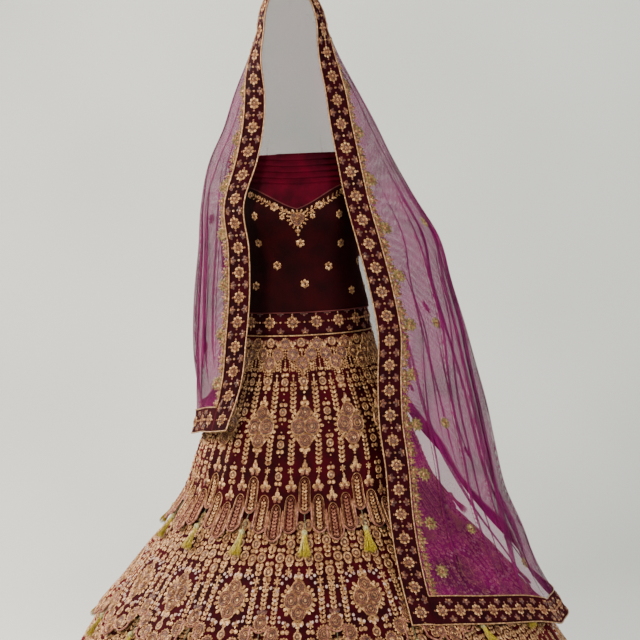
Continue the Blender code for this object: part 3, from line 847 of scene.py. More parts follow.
def net_finish():
    made, tree, shader, place = new_material("magenta_tulle")
    uv = add_node(tree, "ShaderNodeUVMap", uv_map="cloth").outputs["UV"]
    soft = add_node(
        tree, "ShaderNodeTexNoise", {"Vector": place, "Scale": CLOUDS_PER_METRE, "Detail": 2.0}
    )
    colour = add_node(
        tree,
        "ShaderNodeValToRGB",
        {"Fac": soft.outputs["Fac"]},
        [(0.35, "#4e0032"), (0.65, "#6a0046")],
    )
    scaled = add_node(
        tree, "ShaderNodeMapping", {"Vector": uv, "Scale": (1 / NET_PITCH, 1 / NET_PITCH, 1.0)}
    )
    cells = add_node(
        tree,
        "ShaderNodeTexVoronoi",
        {"Vector": scaled.outputs["Vector"], "Scale": 1.0, "Randomness": 0.25},
        feature="DISTANCE_TO_EDGE",
    )
    thread = add_node(
        tree,
        "ShaderNodeMapRange",
        {
            "Value": cells.outputs["Distance"],
            "From Min": THREAD_CORE,
            "From Max": THREAD_EDGE,
            "To Min": THREAD_ALPHA,
            "To Max": HOLE_ALPHA,
        },
    )
    tree.links.new(colour.outputs["Color"], shader.inputs["Base Color"])
    tree.links.new(thread.outputs["Result"], shader.inputs["Alpha"])
    shader.inputs["Roughness"].default_value = 0.6
    shader.inputs["Specular IOR Level"].default_value = 0.1
    shader.inputs["Sheen Weight"].default_value = 0.06
    shader.inputs["Sheen Tint"].default_value = linear("#e030a0")
    return made


magenta_net = net_finish()
yoke_cloth = velvet("crimson_yoke_velvet", "#280008", "#460012", "#c80048", 0.5)
print("threads of the net", NET_PITCH * 1000, "mm apart")

# %% [markdown]
# Embroidery is built from a few small padded shapes. A petal is a flat ring of points whose middle
# is raised, a bead is a disc inset upwards, and a hoop is an outline with a raised rim, open or
# filled with flat stitches. They are joined into motifs, and a motif is laid on the cloth again
# and again.

# %% Shapes of stitch work
PETAL_HEIGHT = 0.0016


def petal(bm, x, y, turn_deg, length, width, height=PETAL_HEIGHT, thread=GOLD, sides=6):
    """A padded petal that grows from (x, y) towards turn_deg, 0 being up."""
    ring = bmesh.ops.create_circle(bm, cap_ends=True, segments=sides, radius=0.5)["verts"]
    poked = bmesh.ops.poke(bm, faces=[ring[0].link_faces[0]])
    poked["verts"][0].co.z = 1.0
    stretch = Matrix.Diagonal((width, length, height, 1.0)) @ Matrix.Translation((0, 0.5, 0))
    place = Matrix.Translation((x, y, 0)) @ Matrix.Rotation(math.radians(turn_deg), 4, "Z")
    bmesh.ops.transform(bm, matrix=place @ stretch, verts=ring + poked["verts"])
    for face in poked["faces"]:
        face.material_index = thread


def bead(bm, x, y, radius, height=0.0018, thread=GOLD, sides=6, lift=0.0):
    ring = bmesh.ops.create_circle(bm, cap_ends=True, segments=sides, radius=radius)["verts"]
    face = ring[0].link_faces[0]
    rim = bmesh.ops.inset_individual(bm, faces=[face], thickness=radius * 0.38, depth=height)
    faces = rim["faces"] + [face]
    verts = list({vert for item in faces for vert in item.verts})
    bmesh.ops.translate(bm, vec=(x, y, lift), verts=verts)
    for item in faces:
        item.material_index = thread


def hoop(bm, outline, width, height=0.0015, thread=GOLD, fill=None, lift=0.0):
    """A raised rim inside a closed outline. Its middle is filled with a thread, or left open."""
    face = bm.faces.new([bm.verts.new((x, y, lift)) for x, y in outline])
    face.normal_update()
    faces = []
    for depth in (height, -height * 0.75):
        faces += bmesh.ops.inset_individual(bm, faces=[face], thickness=width / 2, depth=depth)["faces"]
    for item in faces:
        item.material_index = thread
    if fill is None:
        bmesh.ops.delete(bm, geom=[face], context="FACES_ONLY")
    else:
        face.material_index = fill


def circle(radius, points=12, x=0.0, y=0.0):
    turns = [2 * math.pi * k / points for k in range(points)]
    return [(x + radius * math.cos(turn), y + radius * math.sin(turn)) for turn in turns]


def lobed(half_width, half_height, lobes, depth, points):
    """A closed outline with round lobes."""
    outline = []
    for k in range(points):
        turn = 2 * math.pi * k / points
        reach = 1 - depth + depth * math.cos(lobes * turn)
        outline.append((half_width * reach * math.cos(turn), half_height * reach * math.sin(turn)))
    return outline


def petals_round(
    bm, count, start, length, width, x=0.0, y=0.0, thread=GOLD, turn_deg=0.0, height=PETAL_HEIGHT
):
    """A wheel of petals whose roots lie at the distance start from (x, y)."""
    for k in range(count):
        turn = turn_deg + 360 * k / count
        root_x = x - start * math.sin(math.radians(turn))
        root_y = y + start * math.cos(math.radians(turn))
        petal(bm, root_x, root_y, turn, length, width, height, thread)


Motif = namedtuple("Motif", "points faces threads")


def motif(draw):
    """Runs a drawing function on an empty bmesh and keeps the result as arrays."""
    bm = bmesh.new()
    draw(bm)
    bm.verts.index_update()
    made = Motif(
        np.array([vert.co[:] for vert in bm.verts]),
        [[vert.index for vert in face.verts] for face in bm.faces],
        [face.material_index for face in bm.faces],
    )
    bm.free()
    return made


# %% [markdown]
# The motifs are the common ones of such bridal work: six-petalled flowers, ears of leaves, paired
# buds, roundels, drops, a lobed medallion, and the long arched tabs that end each tier. They are
# drawn here at their real size, in metres.

# %% Small motifs
def draw_flower(bm, size=0.0108, count=6, x=0.0, y=0.0):
    petals_round(bm, count, size * 0.20, size * 0.80, size * 0.70, x, y)
    bead(bm, x, y, size * 0.24, 0.0024, DARK)


def draw_star(bm, size=0.0086):
    """A pointed star of six leaves: it tops an ear of leaves."""
    petals_round(bm, 6, size * 0.10, size * 0.90, size * 0.46)
    bead(bm, 0, 0, size * 0.20, 0.0022)


def draw_leaf_pair(bm):
    for side in (-1, 1):
        petal(bm, side * 0.0004, 0, -side * 40, 0.0102, 0.0062, 0.0022)


def draw_bud_pair(bm):
    for side in (-1, 1):
        bead(bm, side * 0.0047, 0, 0.0045, 0.0019, sides=8)
    petal(bm, 0, 0.0035, 180, 0.0065, 0.0026, thread=ROSE)


def draw_roundel(bm):
    """A small roundel: a bright rim, a dark ring and a bright heart."""
    hoop(bm, circle(0.0100, 12), 0.0038, 0.0018, fill=DARK)
    bead(bm, 0, 0, 0.0036, 0.0026, sides=8, lift=0.0003)


def draw_trefoil(bm):
    """A crown of three plump lobes over two small ones: it tops tabs and medallions."""
    petal(bm, 0, 0.0010, 0, 0.0120, 0.0092, 0.0024)
    for side in (-1, 1):
        petal(bm, side * 0.0010, 0.0005, -side * 78, 0.0092, 0.0078, 0.0022)
        petal(bm, side * 0.0010, -0.0010, -side * 128, 0.0070, 0.0050, 0.0018, ROSE)
    bead(bm, 0, 0.0142, 0.0022, 0.0018)
    bead(bm, 0, 0.0008, 0.0026, 0.0028, DARK)


def draw_drop(bm):
    """Three leaves that point down and end in a bead."""
    for side in (-1, 1):
        petal(bm, side * 0.0010, 0.0030, 180 + side * 48, 0.0090, 0.0052)
    petal(bm, 0, 0.0010, 180, 0.0090, 0.0056)
    bead(bm, 0, -0.0105, 0.0024)


def draw_bead_string(bm):
    for k in range(5):
        bead(bm, 0, 0.0052 * (2 - k), 0.0021, 0.0017)
    petal(bm, 0, -0.0125, 180, 0.0060, 0.0036)


def draw_corner_bud(bm):
    """Three short petals over a bead: it fills the gaps along the edges of a border."""
    for turn, length in ((-58, 0.0092), (0, 0.0100), (58, 0.0092)):
        petal(bm, 0, 0.0006, turn, length, 0.0056, thread=DARK)
    for side in (-1, 1):
        petal(bm, 0, 0, -side * 100, 0.0058, 0.0030, thread=ROSE)
    bead(bm, 0, 0.0010, 0.0022, 0.0024, GOLD)


# %% Rosettes, medallions and tabs
def draw_rosette(bm, size=0.0142):
    """A large roundel: scalloped rim, a ring of beads and a tulip at its heart."""
    petals_round(bm, 14, size * 0.90, size * 0.24, size * 0.32)
    hoop(bm, circle(size, 16), size * 0.15, 0.0022, fill=DARK)
    for x, y in circle(size * 0.62, 10):
        bead(bm, x, y, size * 0.12, 0.0016, ROSE, 5, 0.0004)
    for turn in (-42, 0, 42):
        petal(bm, 0, -size * 0.28, turn, size * 0.66, size * 0.32, 0.0026)
    bead(bm, 0, -size * 0.28, size * 0.16, 0.0024, sides=6)


def draw_ringed(bm, size, x=0.0, y=0.0, lift=0.0):
    """Rims inside each other round a domed jewel."""
    hoop(bm, circle(size, 16, x, y), size * 0.16, 0.0020, GOLD, fill=DARK, lift=lift)
    hoop(bm, circle(size * 0.72, 14, x, y), size * 0.13, 0.0020, ROSE, lift=lift + 0.0004)
    hoop(bm, circle(size * 0.46, 10, x, y), size * 0.12, 0.0022, GOLD, lift=lift + 0.0004)
    bead(bm, x, y, size * 0.20, 0.0030, sides=8, lift=lift + 0.0004)


def draw_big_roundel(bm):
    petals_round(bm, 16, 0.0148, 0.0036, 0.0044)
    draw_ringed(bm, 0.0158)


def draw_finial(bm, y, side):
    """The knot and three petals at one end of a medallion; side is 1 for up and -1 for down."""
    turn = 90 - 90 * side
    for lean in (-1, 1):
        bead(bm, lean * 0.0064, y + side * 0.0020, 0.0052, 0.0020, sides=8)
    petal(bm, 0, y, turn, 0.0130, 0.0092, 0.0022)
    bead(bm, 0, y + side * 0.0150, 0.0030, 0.0018)


MEDALLION_FRINGE = 26
MEDALLION_POINTS = 2 * MEDALLION_FRINGE


def draw_medallion(bm, lobe_x=0.0145, lobe_y=0.0285, side_size=0.0185, end_size=0.0150):
    """Four ringed lobes on a filled ground, with a fringe of leaves and a finial at each end."""
    half_width = lobe_x + side_size
    half_height = lobe_y + end_size * 0.90
    ground = lobed(half_width, half_height, 4, 0.07, MEDALLION_POINTS)
    for k in range(MEDALLION_FRINGE):
        x, y = ground[2 * k]
        away = math.degrees(math.atan2(-x * half_height / half_width, y))
        if abs(y) < lobe_y:
            petal(bm, x * 0.97, y * 0.97, away, 0.0105 - 0.0030 * (k % 2), 0.0070, 0.0018)
    hoop(bm, ground, 0.0030, 0.0014, GOLD, fill=DARK)
    for x, y in ((1, 1), (-1, 1), (1, -1), (-1, -1)):
        draw_flower(bm, 0.0062, 5, x * 0.0150, y * lobe_y * 0.72)
    for side in (-1, 1):
        draw_ringed(bm, end_size, 0, side * lobe_y, 0.0006)
        draw_ringed(bm, side_size, side * lobe_x, 0, 0.0012)
        draw_finial(bm, side * (lobe_y + end_size + 0.001), side)
    draw_star(bm, 0.0060)


TAB_HALF_WIDTH = 0.0142
TAB_LENGTH = 0.0815


def arched(half_width, foot, head, arch):
    """A closed outline: round below and a tall arch above."""
    outline = []
    for k in range(9):
        turn = math.pi * k / 8
        rise = arch * math.sin(turn) ** 0.8
        outline.append((half_width * math.cos(turn), head - arch + rise))
    for k in range(9):
        turn = math.pi + math.pi * k / 8
        outline.append((half_width * math.cos(turn), foot + half_width * (1 + math.sin(turn))))
    return outline


def draw_tab(bm, thread=GOLD):
    """An arched tab: a gold outline, a thin rose one inside it and an ear of plump leaves."""
    hoop(bm, arched(TAB_HALF_WIDTH, 0.0, TAB_LENGTH, 0.024), 0.0022, 0.0020, GOLD)
    hoop(bm, arched(TAB_HALF_WIDTH - 0.0032, 0.0040, TAB_LENGTH - 0.0056, 0.020), 0.0016, 0.0016, ROSE)
    for k in range(8):
        for side in (-1, 1):
            petal(bm, side * 0.0003, 0.0072 + 0.0074 * k, -side * 38, 0.0092, 0.0056, 0.0022, thread)
    bead(bm, 0, 0.0700, 0.0032, 0.0024, thread)


def draw_spear(bm):
    """A tall leaf of rose stitches that fills the ground between two tabs."""
    petal(bm, 0, 0, 0, 0.0560, 0.0076, 0.0007, ROSE, 8)


def draw_rich_flower(bm):
    """A border flower: eight petals, a ring and a heart, with a leaf tip to each of four sides."""
    petals_round(bm, 8, 0.0064, 0.0072, 0.0074)
    hoop(bm, circle(0.0076, 12), 0.0018, 0.0022, ROSE, fill=DARK)
    petals_round(bm, 5, 0.0008, 0.0042, 0.0034)
    bead(bm, 0, 0, 0.0018, 0.0034, GOLD, 6, 0.0004)
    petals_round(bm, 4, 0.0140, 0.0042, 0.0046, thread=ROSE, height=0.0014)


# %% Sprays for the net
def draw_sprig(bm):
    """A ragged spray of leaves that stands on the net side of the border."""
    for turn, length, thread in (
        (-76, 0.0070, ROSE), (-44, 0.0100, OLIVE), (-14, 0.0124, ROSE), (18, 0.0106, OLIVE),
        (48, 0.0088, ROSE), (80, 0.0066, OLIVE),
    ):
        petal(bm, 0, 0, turn, length, 0.0040, thread=thread)
    bead(bm, 0, 0.0020, 0.0022, 0.0022, GOLD)


def draw_net_flower(bm):
    """A soft flower of olive gold: ragged outer petals of two lengths round a bright heart."""
    petals_round(bm, 9, 0.0030, 0.0100, 0.0046, thread=OLIVE)
    petals_round(bm, 9, 0.0030, 0.0066, 0.0040, thread=OLIVE, turn_deg=20)
    petals_round(bm, 6, 0.0012, 0.0050, 0.0036, thread=GOLD, turn_deg=10)
    bead(bm, 0, 0, 0.0020, 0.0030, DARK)


def draw_leaf_tip(bm):
    """A pair of slim leaves on a stalk: the spray at a neckline is made of these."""
    petal(bm, 0, 0, 0, 0.0105, 0.0046, 0.0018)
    petal(bm, 0, -0.0030, -58, 0.0084, 0.0040, 0.0018)
    petal(bm, 0, -0.0070, 0, 0.0080, 0.0014, 0.0010, ROSE)


def draw_pendant(bm):
    """A heart of lattice work in a fringe of leaves, over a drop of three beads."""
    outline = []
    for k in range(28):
        turn = 2 * math.pi * k / 28
        dip = 0.0040 * math.exp(-((turned(math.degrees(turn) - 90) / 24) ** 2))
        foot = 0.0045 * math.exp(-((turned(math.degrees(turn) + 90) / 34) ** 2))
        outline.append((0.0165 * math.cos(turn), 0.0155 * math.sin(turn) - dip - foot))
    for k in range(28):
        x, y = outline[k]
        away = math.degrees(math.atan2(-x, y))
        if k % 2 and y < 0.0130:
            petal(bm, x * 0.98, y * 0.98, away, 0.0088, 0.0048, 0.0018)
    hoop(bm, outline, 0.0024, 0.0018, GOLD, fill=DARK)
    for size in (0.0108, 0.0062):
        hoop(bm, circle(size, 12, 0, -0.0010), 0.0016, 0.0022, GOLD, lift=0.0004)
    for turn in (-42, 0, 42):
        petal(bm, 0, -0.0040, turn, 0.0092, 0.0034, 0.0030)
    for side in (-1, 1):
        petal(bm, side * 0.0016, -0.0270, side * 118, 0.0092, 0.0074, 0.0022)
    petal(bm, 0, -0.0250, 180, 0.0106, 0.0086, 0.0022)
    bead(bm, 0, -0.0385, 0.0036, 0.0024, GOLD, 8)


M = {
    "flower": motif(draw_flower),
    "star": motif(draw_star),
    "rich_flower": motif(draw_rich_flower),
    "leaf_pair": motif(draw_leaf_pair),
    "bud_pair": motif(draw_bud_pair),
    "roundel": motif(draw_roundel),
    "trefoil": motif(draw_trefoil),
    "drop": motif(draw_drop),
    "bead_string": motif(draw_bead_string),
    "rosette": motif(draw_rosette),
    "medallion": motif(draw_medallion),
    "long_medallion": motif(lambda bm: draw_medallion(bm, 0.0150, 0.0215, 0.0165, 0.0155)),
    "tab": motif(draw_tab),
    "rose_tab": motif(lambda bm: draw_tab(bm, ROSE)),
    "big_roundel": motif(draw_big_roundel),
    "spear": motif(draw_spear),
    "sprig": motif(draw_sprig),
    "leaf_tip": motif(draw_leaf_tip),
    "pendant": motif(draw_pendant),
    "net_flower": motif(draw_net_flower),
    "corner_bud": motif(draw_corner_bud),
    "leaf": motif(lambda bm: petal(bm, 0, 0, 0, 0.0130, 0.0062)),
    "bead": motif(lambda bm: bead(bm, 0, 0, 0.0023)),
    "pearl": motif(lambda bm: bead(bm, 0, 0, 0.0032, 0.0026, PEARL, 8)),
}
print("motifs:", {name: len(made.faces) for name, made in M.items()})

# %% [markdown]
# Laying a motif bends it onto the cloth: each of its points is moved along the surface by its own
# x and y, measured in metres there, and out by its height. Motifs for the flared tiers are drawn
# taller, so that they look evenly round when the skirt is worn. All copies become one mesh.

# %% Laying embroidery
MEASURE = 1e-4
STITCH_LIFT = 0.0001


class Work:
    """The list of motifs laid on one surface: name, u, v, size and turn of each."""

    def __init__(self, surface, tall=1.0):
        self.surface = surface
        self.tall = tall
        self.laid = {}

    def lay(self, name, u, v, size=1.0, turn_deg=0.0):
        rows = np.broadcast_arrays(*np.atleast_1d(u, v, size, turn_deg))
        self.laid.setdefault(name, []).append(np.stack([r.ravel() for r in rows], -1).astype(float))

    def sew(self, name):
        """Joins everything laid so far into one piece."""
        points = []
        faces = []
        threads = []
        count = 0
        for key, rows in self.laid.items():
            shape = M[key]
            u, v, size, turn = np.concatenate(rows).T[..., None]
            here = self.surface(u, v)
            per_u = np.linalg.norm(self.surface(u + MEASURE, v) - here, axis=-1) / MEASURE
            per_v = np.linalg.norm(self.surface(u, v + MEASURE) - here, axis=-1) / MEASURE
            x, y, z = shape.points.T
            c, s = np.cos(np.radians(turn)), np.sin(np.radians(turn))
            across = (x * c - y * s) * size / per_u
            along = (x * s + y * c) * size * self.tall / per_v
            placed = self.surface(u + across, v + along, z * size + STITCH_LIFT)
            points.append(placed.reshape(-1, 3))
            for copy in range(len(u)):
                start = count + copy * len(x)
                faces += [[start + k for k in face] for face in shape.faces]
            threads += shape.threads * len(u)
            count += len(u) * len(x)
        mesh = bpy.data.meshes.new(name)
        mesh.from_pydata(np.concatenate(points).tolist(), [], faces)
        mesh.polygons.foreach_set("material_index", threads)
        motifs = sum(len(row) for rows in self.laid.values() for row in rows)
        triangles = sum(len(face) - 2 for face in faces)
        print(name, motifs, "motifs,", triangles, "triangles")
        return add_piece(name, mesh, THREADS, smooth=False)


# %% [markdown]
# The top tier is a tube of velvet, made once round with its seams closed. The columns of its grid
# come in pairs at the sides of each tab, so that the edge can step there.

# %% Scalloped tiers of velvet
TAB_STEPS = (-0.97, -0.80, -0.55, -0.28, 0.0, 0.28, 0.55, 0.80, 0.97)


def tier_columns(tier):
    """Shares of a repeat for all columns round a tier, with the tier closed at the end."""
    centres = np.arange(tier.repeats * len(TABS)) / len(TABS)
    half = 0.5 / len(TABS)
    shares = (centres[:, None] + half * np.array(TAB_STEPS)).ravel()
    return np.append(shares, shares[0] + tier.repeats)


def make_tier(tier, surface, rows, finish):
    shares = tier_columns(tier)
    edge = tier.notch - tab_edge(shares)

    def place(column, row):
        height = edge[column] + (tier.top - edge[column]) * row / rows
        return surface(share_angle(tier, shares[column]), height)

    piece, area = make_sheet(f"{tier.name}_velvet", len(shares) - 1, rows, place, finish, VELVET_WALL)
    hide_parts(f"{tier.name}_front", f"{tier.name}_back")
    return piece, area


def girth(surface, height):
    """Length once round a surface at a height."""
    turn = np.linspace(-np.pi, np.pi, 721)
    return float(np.linalg.norm(np.diff(surface(turn, height), axis=0), axis=-1).sum())


def slope_length(surface, low, high):
    """Length down the middle of a surface's front."""
    heights = np.linspace(low, high, 200)
    return float(np.linalg.norm(np.diff(surface(0.0, heights), axis=0), axis=-1).sum())


tier_1_velvet, tier_1_area = make_tier(TIER_1, tier_1_surface, 30, maroon_velvet)
tier_2_velvet, tier_2_area = make_tier(TIER_2, tier_2_surface, 22, maroon_velvet)

HEM_TIER_COLUMNS = 360
HEM_TIER_ROWS = 36


def place_tier_3(column, row):
    height = FLOOR + (TIER_3_TOP - FLOOR) * row / HEM_TIER_ROWS
    return tier_3_surface(column * 2 * np.pi / HEM_TIER_COLUMNS, height)


tier_3_velvet, tier_3_area = make_sheet(
    "tier_3_velvet", HEM_TIER_COLUMNS, HEM_TIER_ROWS, place_tier_3, maroon_velvet, VELVET_WALL
)
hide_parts("tier_3_front", "tier_3_back")

# %% [markdown]
# Embroidery of the top tier. Each repeat hangs on the axis of its notch: a jewelled drop under the
# waistband, a string of roundel, buds and flower, the medallion, and the top tab. Ears of leaves
# run beside it, and a beaded column of roundels stands between two repeats.

# %% Embroidery of tier 1
EAR_STEP = 0.0092
PEARL_RING = 22
RING_FLATTEN = 0.16
TIER_1_TALL = 1.17
Spot = namedtuple("Spot", "name share height size turn_deg", defaults=(1.0, 0))


def pair(name, share, height, size=1.0, turn_deg=0):
    """A spot on each side of the middle of a repeat, one the mirror of the other."""
    return Spot(name, share, height, size, turn_deg), Spot(name, -share, height, size, -turn_deg)


TIER_1_SPOTS = (
    Spot("roundel", 0.0, -0.0660, 0.95),
    *pair("corner_bud", 0.09, -0.0640, 0.9, -120),
    Spot("drop", 0.0, -0.0820, 0.8),
    Spot("rosette", 0.0, -0.1110),
    *pair("bead_string", 0.115, -0.1350, 0.9),
    Spot("roundel", 0.0, -0.1510),
    Spot("bud_pair", 0.0, -0.1655, 1.1),
    Spot("bead", 0.0, -0.1745, 1.5),
    Spot("bead", 0.0, -0.1870, 1.8),
    Spot("medallion", 0.0, -0.2470),
    Spot("bead", 0.0, -0.3240, 1.8),
    Spot("trefoil", 0.0, -0.3415, 1.4),
    Spot("tab", 0.0, -0.4290),
    *pair("trefoil", 0.27, -0.0660, 0.8, 180),
    *pair("rosette", 0.27, -0.0915, 0.95),
    *pair("bead_string", 0.17, -0.1130, 0.9),
    *pair("bead_string", 0.37, -0.1130, 0.9),
    *pair("bead", 0.27, -0.1390, 1.4),
    *pair("leaf", 0.27, -0.1500, 0.5),
    *pair("star", 0.27, -0.1560, 0.95),
    *pair("bead", 0.27, -0.2230, 1.1),
    *pair("star", 0.27, -0.3400, 0.85),
    *pair("bead", 0.26, -0.3520, 1.2),
    *pair("trefoil", 0.25, -0.3765, 1.3),
    Spot("tab", 0.25, -0.4645),
    Spot("rose_tab", -0.25, -0.4645),
    Spot("rosette", 0.5, -0.0690, 0.82),
    Spot("bead_string", 0.5, -0.0930),
    Spot("drop", 0.5, -0.1250, 0.8, 180),
    Spot("trefoil", 0.5, -0.3985, 1.25),
    Spot("rose_tab", 0.5, -0.4795, 0.93),
    *pair("spear", 0.125, -0.4460, 0.85),
    *pair("spear", 0.375, -0.4690, 0.95),
)
COLUMN_TOPS = (-0.1370, -0.2010, -0.2690, -0.3360)
COLUMN_STEP = 0.0163


def lay_spots(work, tier, spots):
    """Lays each spot once in every repeat of a tier."""
    repeat = np.arange(tier.repeats)
    for spot in spots:
        angle = share_angle(tier, repeat + spot.share)
        work.lay(spot.name, angle, spot.height, spot.size, spot.turn_deg)


def lay_ear(work, tier, share, top, foot, step=EAR_STEP, size=1.0):
    """An ear of leaf pairs down a line of one share."""
    heights = np.arange(top, foot, -step)
    angle, height = np.meshgrid(share_angle(tier, np.arange(tier.repeats) + share), heights)
    work.lay("leaf_pair", angle.ravel(), height.ravel(), size)


# How much height each motif takes in a column.
ROOM = {"bead": 0.0070, "star": 0.0120, "leaf_pair": 0.0084, "bud_pair": 0.0110, "roundel": 0.0165}


def in_line(names, number):
    """The names in turn, and then all but the first two again and again."""
    return names[number] if number < len(names) else names[2 + (number - 2) % (len(names) - 2)]


def lay_line(work, tier, share, names, foot, top, size=1.0):
    """A column of different motifs from its foot upwards, until it reaches the top."""
    height = foot
    number = 0
    while height < top:
        name = in_line(names, number)
        lay_spots(work, tier, [Spot(name, share, height, size)])
        number += 1
        height += (ROOM[name] + ROOM[in_line(names, number)]) / 2 * size


def lay_column(work, tier, share, tops):
    """Groups of buds, roundel and buds down a line of one share."""
    for top in tops:
        spots = (
            Spot("bud_pair", share, top),
            Spot("roundel", share, top - COLUMN_STEP * 0.95, 0.85),
            Spot("bud_pair", share, top - COLUMN_STEP * 1.9, 1.0, 180),
            Spot("bead", share, top - COLUMN_STEP * 2.5, 0.9),
            Spot("bead", share, top + COLUMN_STEP * 0.62, 0.9),
        )
        lay_spots(work, tier, spots)


def lay_pearl_ring(work, tier, share, height, reach, rise, corners=0.0, size=1.0):
    """An oval of pearls round a medallion. corners is how much its four corners are drawn out."""
    for k in range(PEARL_RING):
        turn = 2 * math.pi * (k + 0.5) / PEARL_RING
        across = reach * math.sin(turn) * (1 + corners * math.cos(4 * turn))
        up = rise * math.cos(turn) * (1 - RING_FLATTEN * math.cos(2 * turn))
        lay_spots(work, tier, [Spot("pearl", share + across, height + up, size)])


def lay_pearls(work, tier, places, size=1.0):
    """Single pearls on both sides of a repeat, each given by its share and height."""
    for share, height in places:
        for side in (-1, 1):
            lay_spots(work, tier, [Spot("pearl", side * share, height, size)])


tier_1_work = Work(tier_1_surface, TIER_1_TALL)
lay_spots(tier_1_work, TIER_1, TIER_1_SPOTS)
for share in (-0.27, 0.27):
    lay_ear(tier_1_work, TIER_1, share, -0.1720, -0.2190)
    lay_ear(tier_1_work, TIER_1, share, -0.2820, -0.3350)
    lay_ear(tier_1_work, TIER_1, share, -0.1160, -0.1350, 0.0066, 0.8)
lay_ear(tier_1_work, TIER_1, 0.0, -0.1330, -0.1420, 0.0060, 0.8)
lay_column(tier_1_work, TIER_1, 0.5, COLUMN_TOPS)
tier_1_embroidery = tier_1_work.sew("tier_1_embroidery")

# %% [markdown]
# The middle tier has six close columns to a repeat above. They end on an arch of plain velvet, and
# under it stand the medallions, each in a ring of small pearls, between sets of three ears of
# leaves. Large roundels lie along the edge.

# %% Embroidery of tier 2
TIER_2_SPOTS = (
    Spot("long_medallion", 0.5, -0.5880),
    Spot("star", 0.0, -0.5610),
    *pair("star", 0.166, -0.5690),
    Spot("corner_bud", 0.0, -0.6140, 1.5),
    Spot("big_roundel", 0.0, -0.6260, 0.95),
    *pair("big_roundel", 0.165, -0.6470, 0.95),
    *pair("rosette", 0.33, -0.6660, 0.95),
    Spot("big_roundel", 0.5, -0.6760, 0.95),
    *pair("star", 0.335, -0.6310, 0.9),
    *pair("bud_pair", 0.335, -0.6430),
    Spot("roundel", 0.5, -0.6500, 0.9),
    *pair("roundel", 0.235, -0.6680, 0.8),
    *pair("bead", 0.09, -0.6430, 1.5),
)
# Columns of the upper part: shares, height of the foot, and the motifs from the foot upwards.
Column = namedtuple("Column", "shares foot names")
ROUND_LINE = ("bud_pair", "roundel", "bud_pair", "leaf_pair", "leaf_pair", "bud_pair", "roundel")
STAR_LINE = ("bead", "star", "leaf_pair", "leaf_pair", "bud_pair", "roundel", "bud_pair")
SHORT_LINE = ("star", "leaf_pair", "roundel", "bud_pair", "roundel", "bud_pair", "leaf_pair")
TIER_2_COLUMNS = (
    Column((0.0,), -0.5505, ROUND_LINE),
    Column((1 / 6, -1 / 6), -0.5640, STAR_LINE),
    Column((1 / 3, -1 / 3), -0.5380, SHORT_LINE),
    Column((0.5,), -0.5240, ROUND_LINE),
)
TIER_2_PEARLS = ((0.25, -0.5450), (0.08, -0.5660), (0.085, -0.5990), (0.085, -0.6180), (0.25, -0.6250))
TIER_2_COLUMN_TOP = -0.4420
TIER_2_TALL = 1.32

tier_2_work = Work(tier_2_surface, TIER_2_TALL)
lay_spots(tier_2_work, TIER_2, TIER_2_SPOTS)
for column in TIER_2_COLUMNS:
    for share in column.shares:
        lay_line(tier_2_work, TIER_2, share, column.names, column.foot, TIER_2_COLUMN_TOP)
for share, top, foot in ((0.0, -0.5740, -0.6080), (0.166, -0.5820, -0.6300), (-0.166, -0.5820, -0.6300)):
    lay_ear(tier_2_work, TIER_2, share, top, foot, 0.0078, 0.92)
lay_pearl_ring(tier_2_work, TIER_2, 0.5, -0.5880, 0.315, 0.0520, 0.06)
lay_pearls(tier_2_work, TIER_2, TIER_2_PEARLS)
tier_2_embroidery = tier_2_work.sew("tier_2_embroidery")

# %% [markdown]
# The hem tier carries the same work, more open: columns of buds and roundels under the tassels,
# medallions between ears of leaves, and a deep border of roundels and tabs round the hem.

# %% Embroidery of tier 3
TIER_3 = Tier("tier_3", TIER_3_TOP, TIER_3_TOP, FLOOR, TIER_3_REPEATS, TIER_3_START_DEG, 0.0)
TIER_3_SPOTS = (
    Spot("medallion", 0.0, -0.8250, 1.1),
    Spot("star", 0.5, -0.7700, 1.1),
    *pair("star", 0.25, -0.7880, 1.1),
    Spot("rosette", 0.5, -0.9080),
    *pair("big_roundel", 0.25, -0.9140),
    Spot("trefoil", 0.0, -0.9420, 1.3),
    *pair("trefoil", 0.125, -0.9560, 1.2),
    *pair("trefoil", 0.25, -0.9490, 1.2),
    *pair("trefoil", 0.375, -0.9560, 1.2),
    Spot("trefoil", 0.5, -0.9420, 1.3),
    Spot("tab", 0.0, -1.0460, 1.15),
    *pair("rose_tab", 0.125, -1.0520, 1.05),
    *pair("tab", 0.25, -1.0500, 1.1),
    *pair("rose_tab", 0.375, -1.0520, 1.05),
    Spot("tab", 0.5, -1.0460, 1.15),
)
TIER_3_COLUMNS = (
    Column((0.0,), -0.7440, ROUND_LINE),
    Column((0.125, -0.125), -0.7560, STAR_LINE),
    Column((0.25, -0.25), -0.7680, SHORT_LINE),
    Column((0.375, -0.375), -0.7560, STAR_LINE),
    Column((0.5,), -0.7480, ROUND_LINE),
)
TIER_3_PEARLS = ((0.38, -0.8000), (0.38, -0.8350), (0.38, -0.8700), (0.17, -0.9250), (0.36, -0.9150))
TIER_3_COLUMN_TOP = -0.6450
TIER_3_COLUMN_SIZE = 1.05
TIER_3_TALL = 1.17

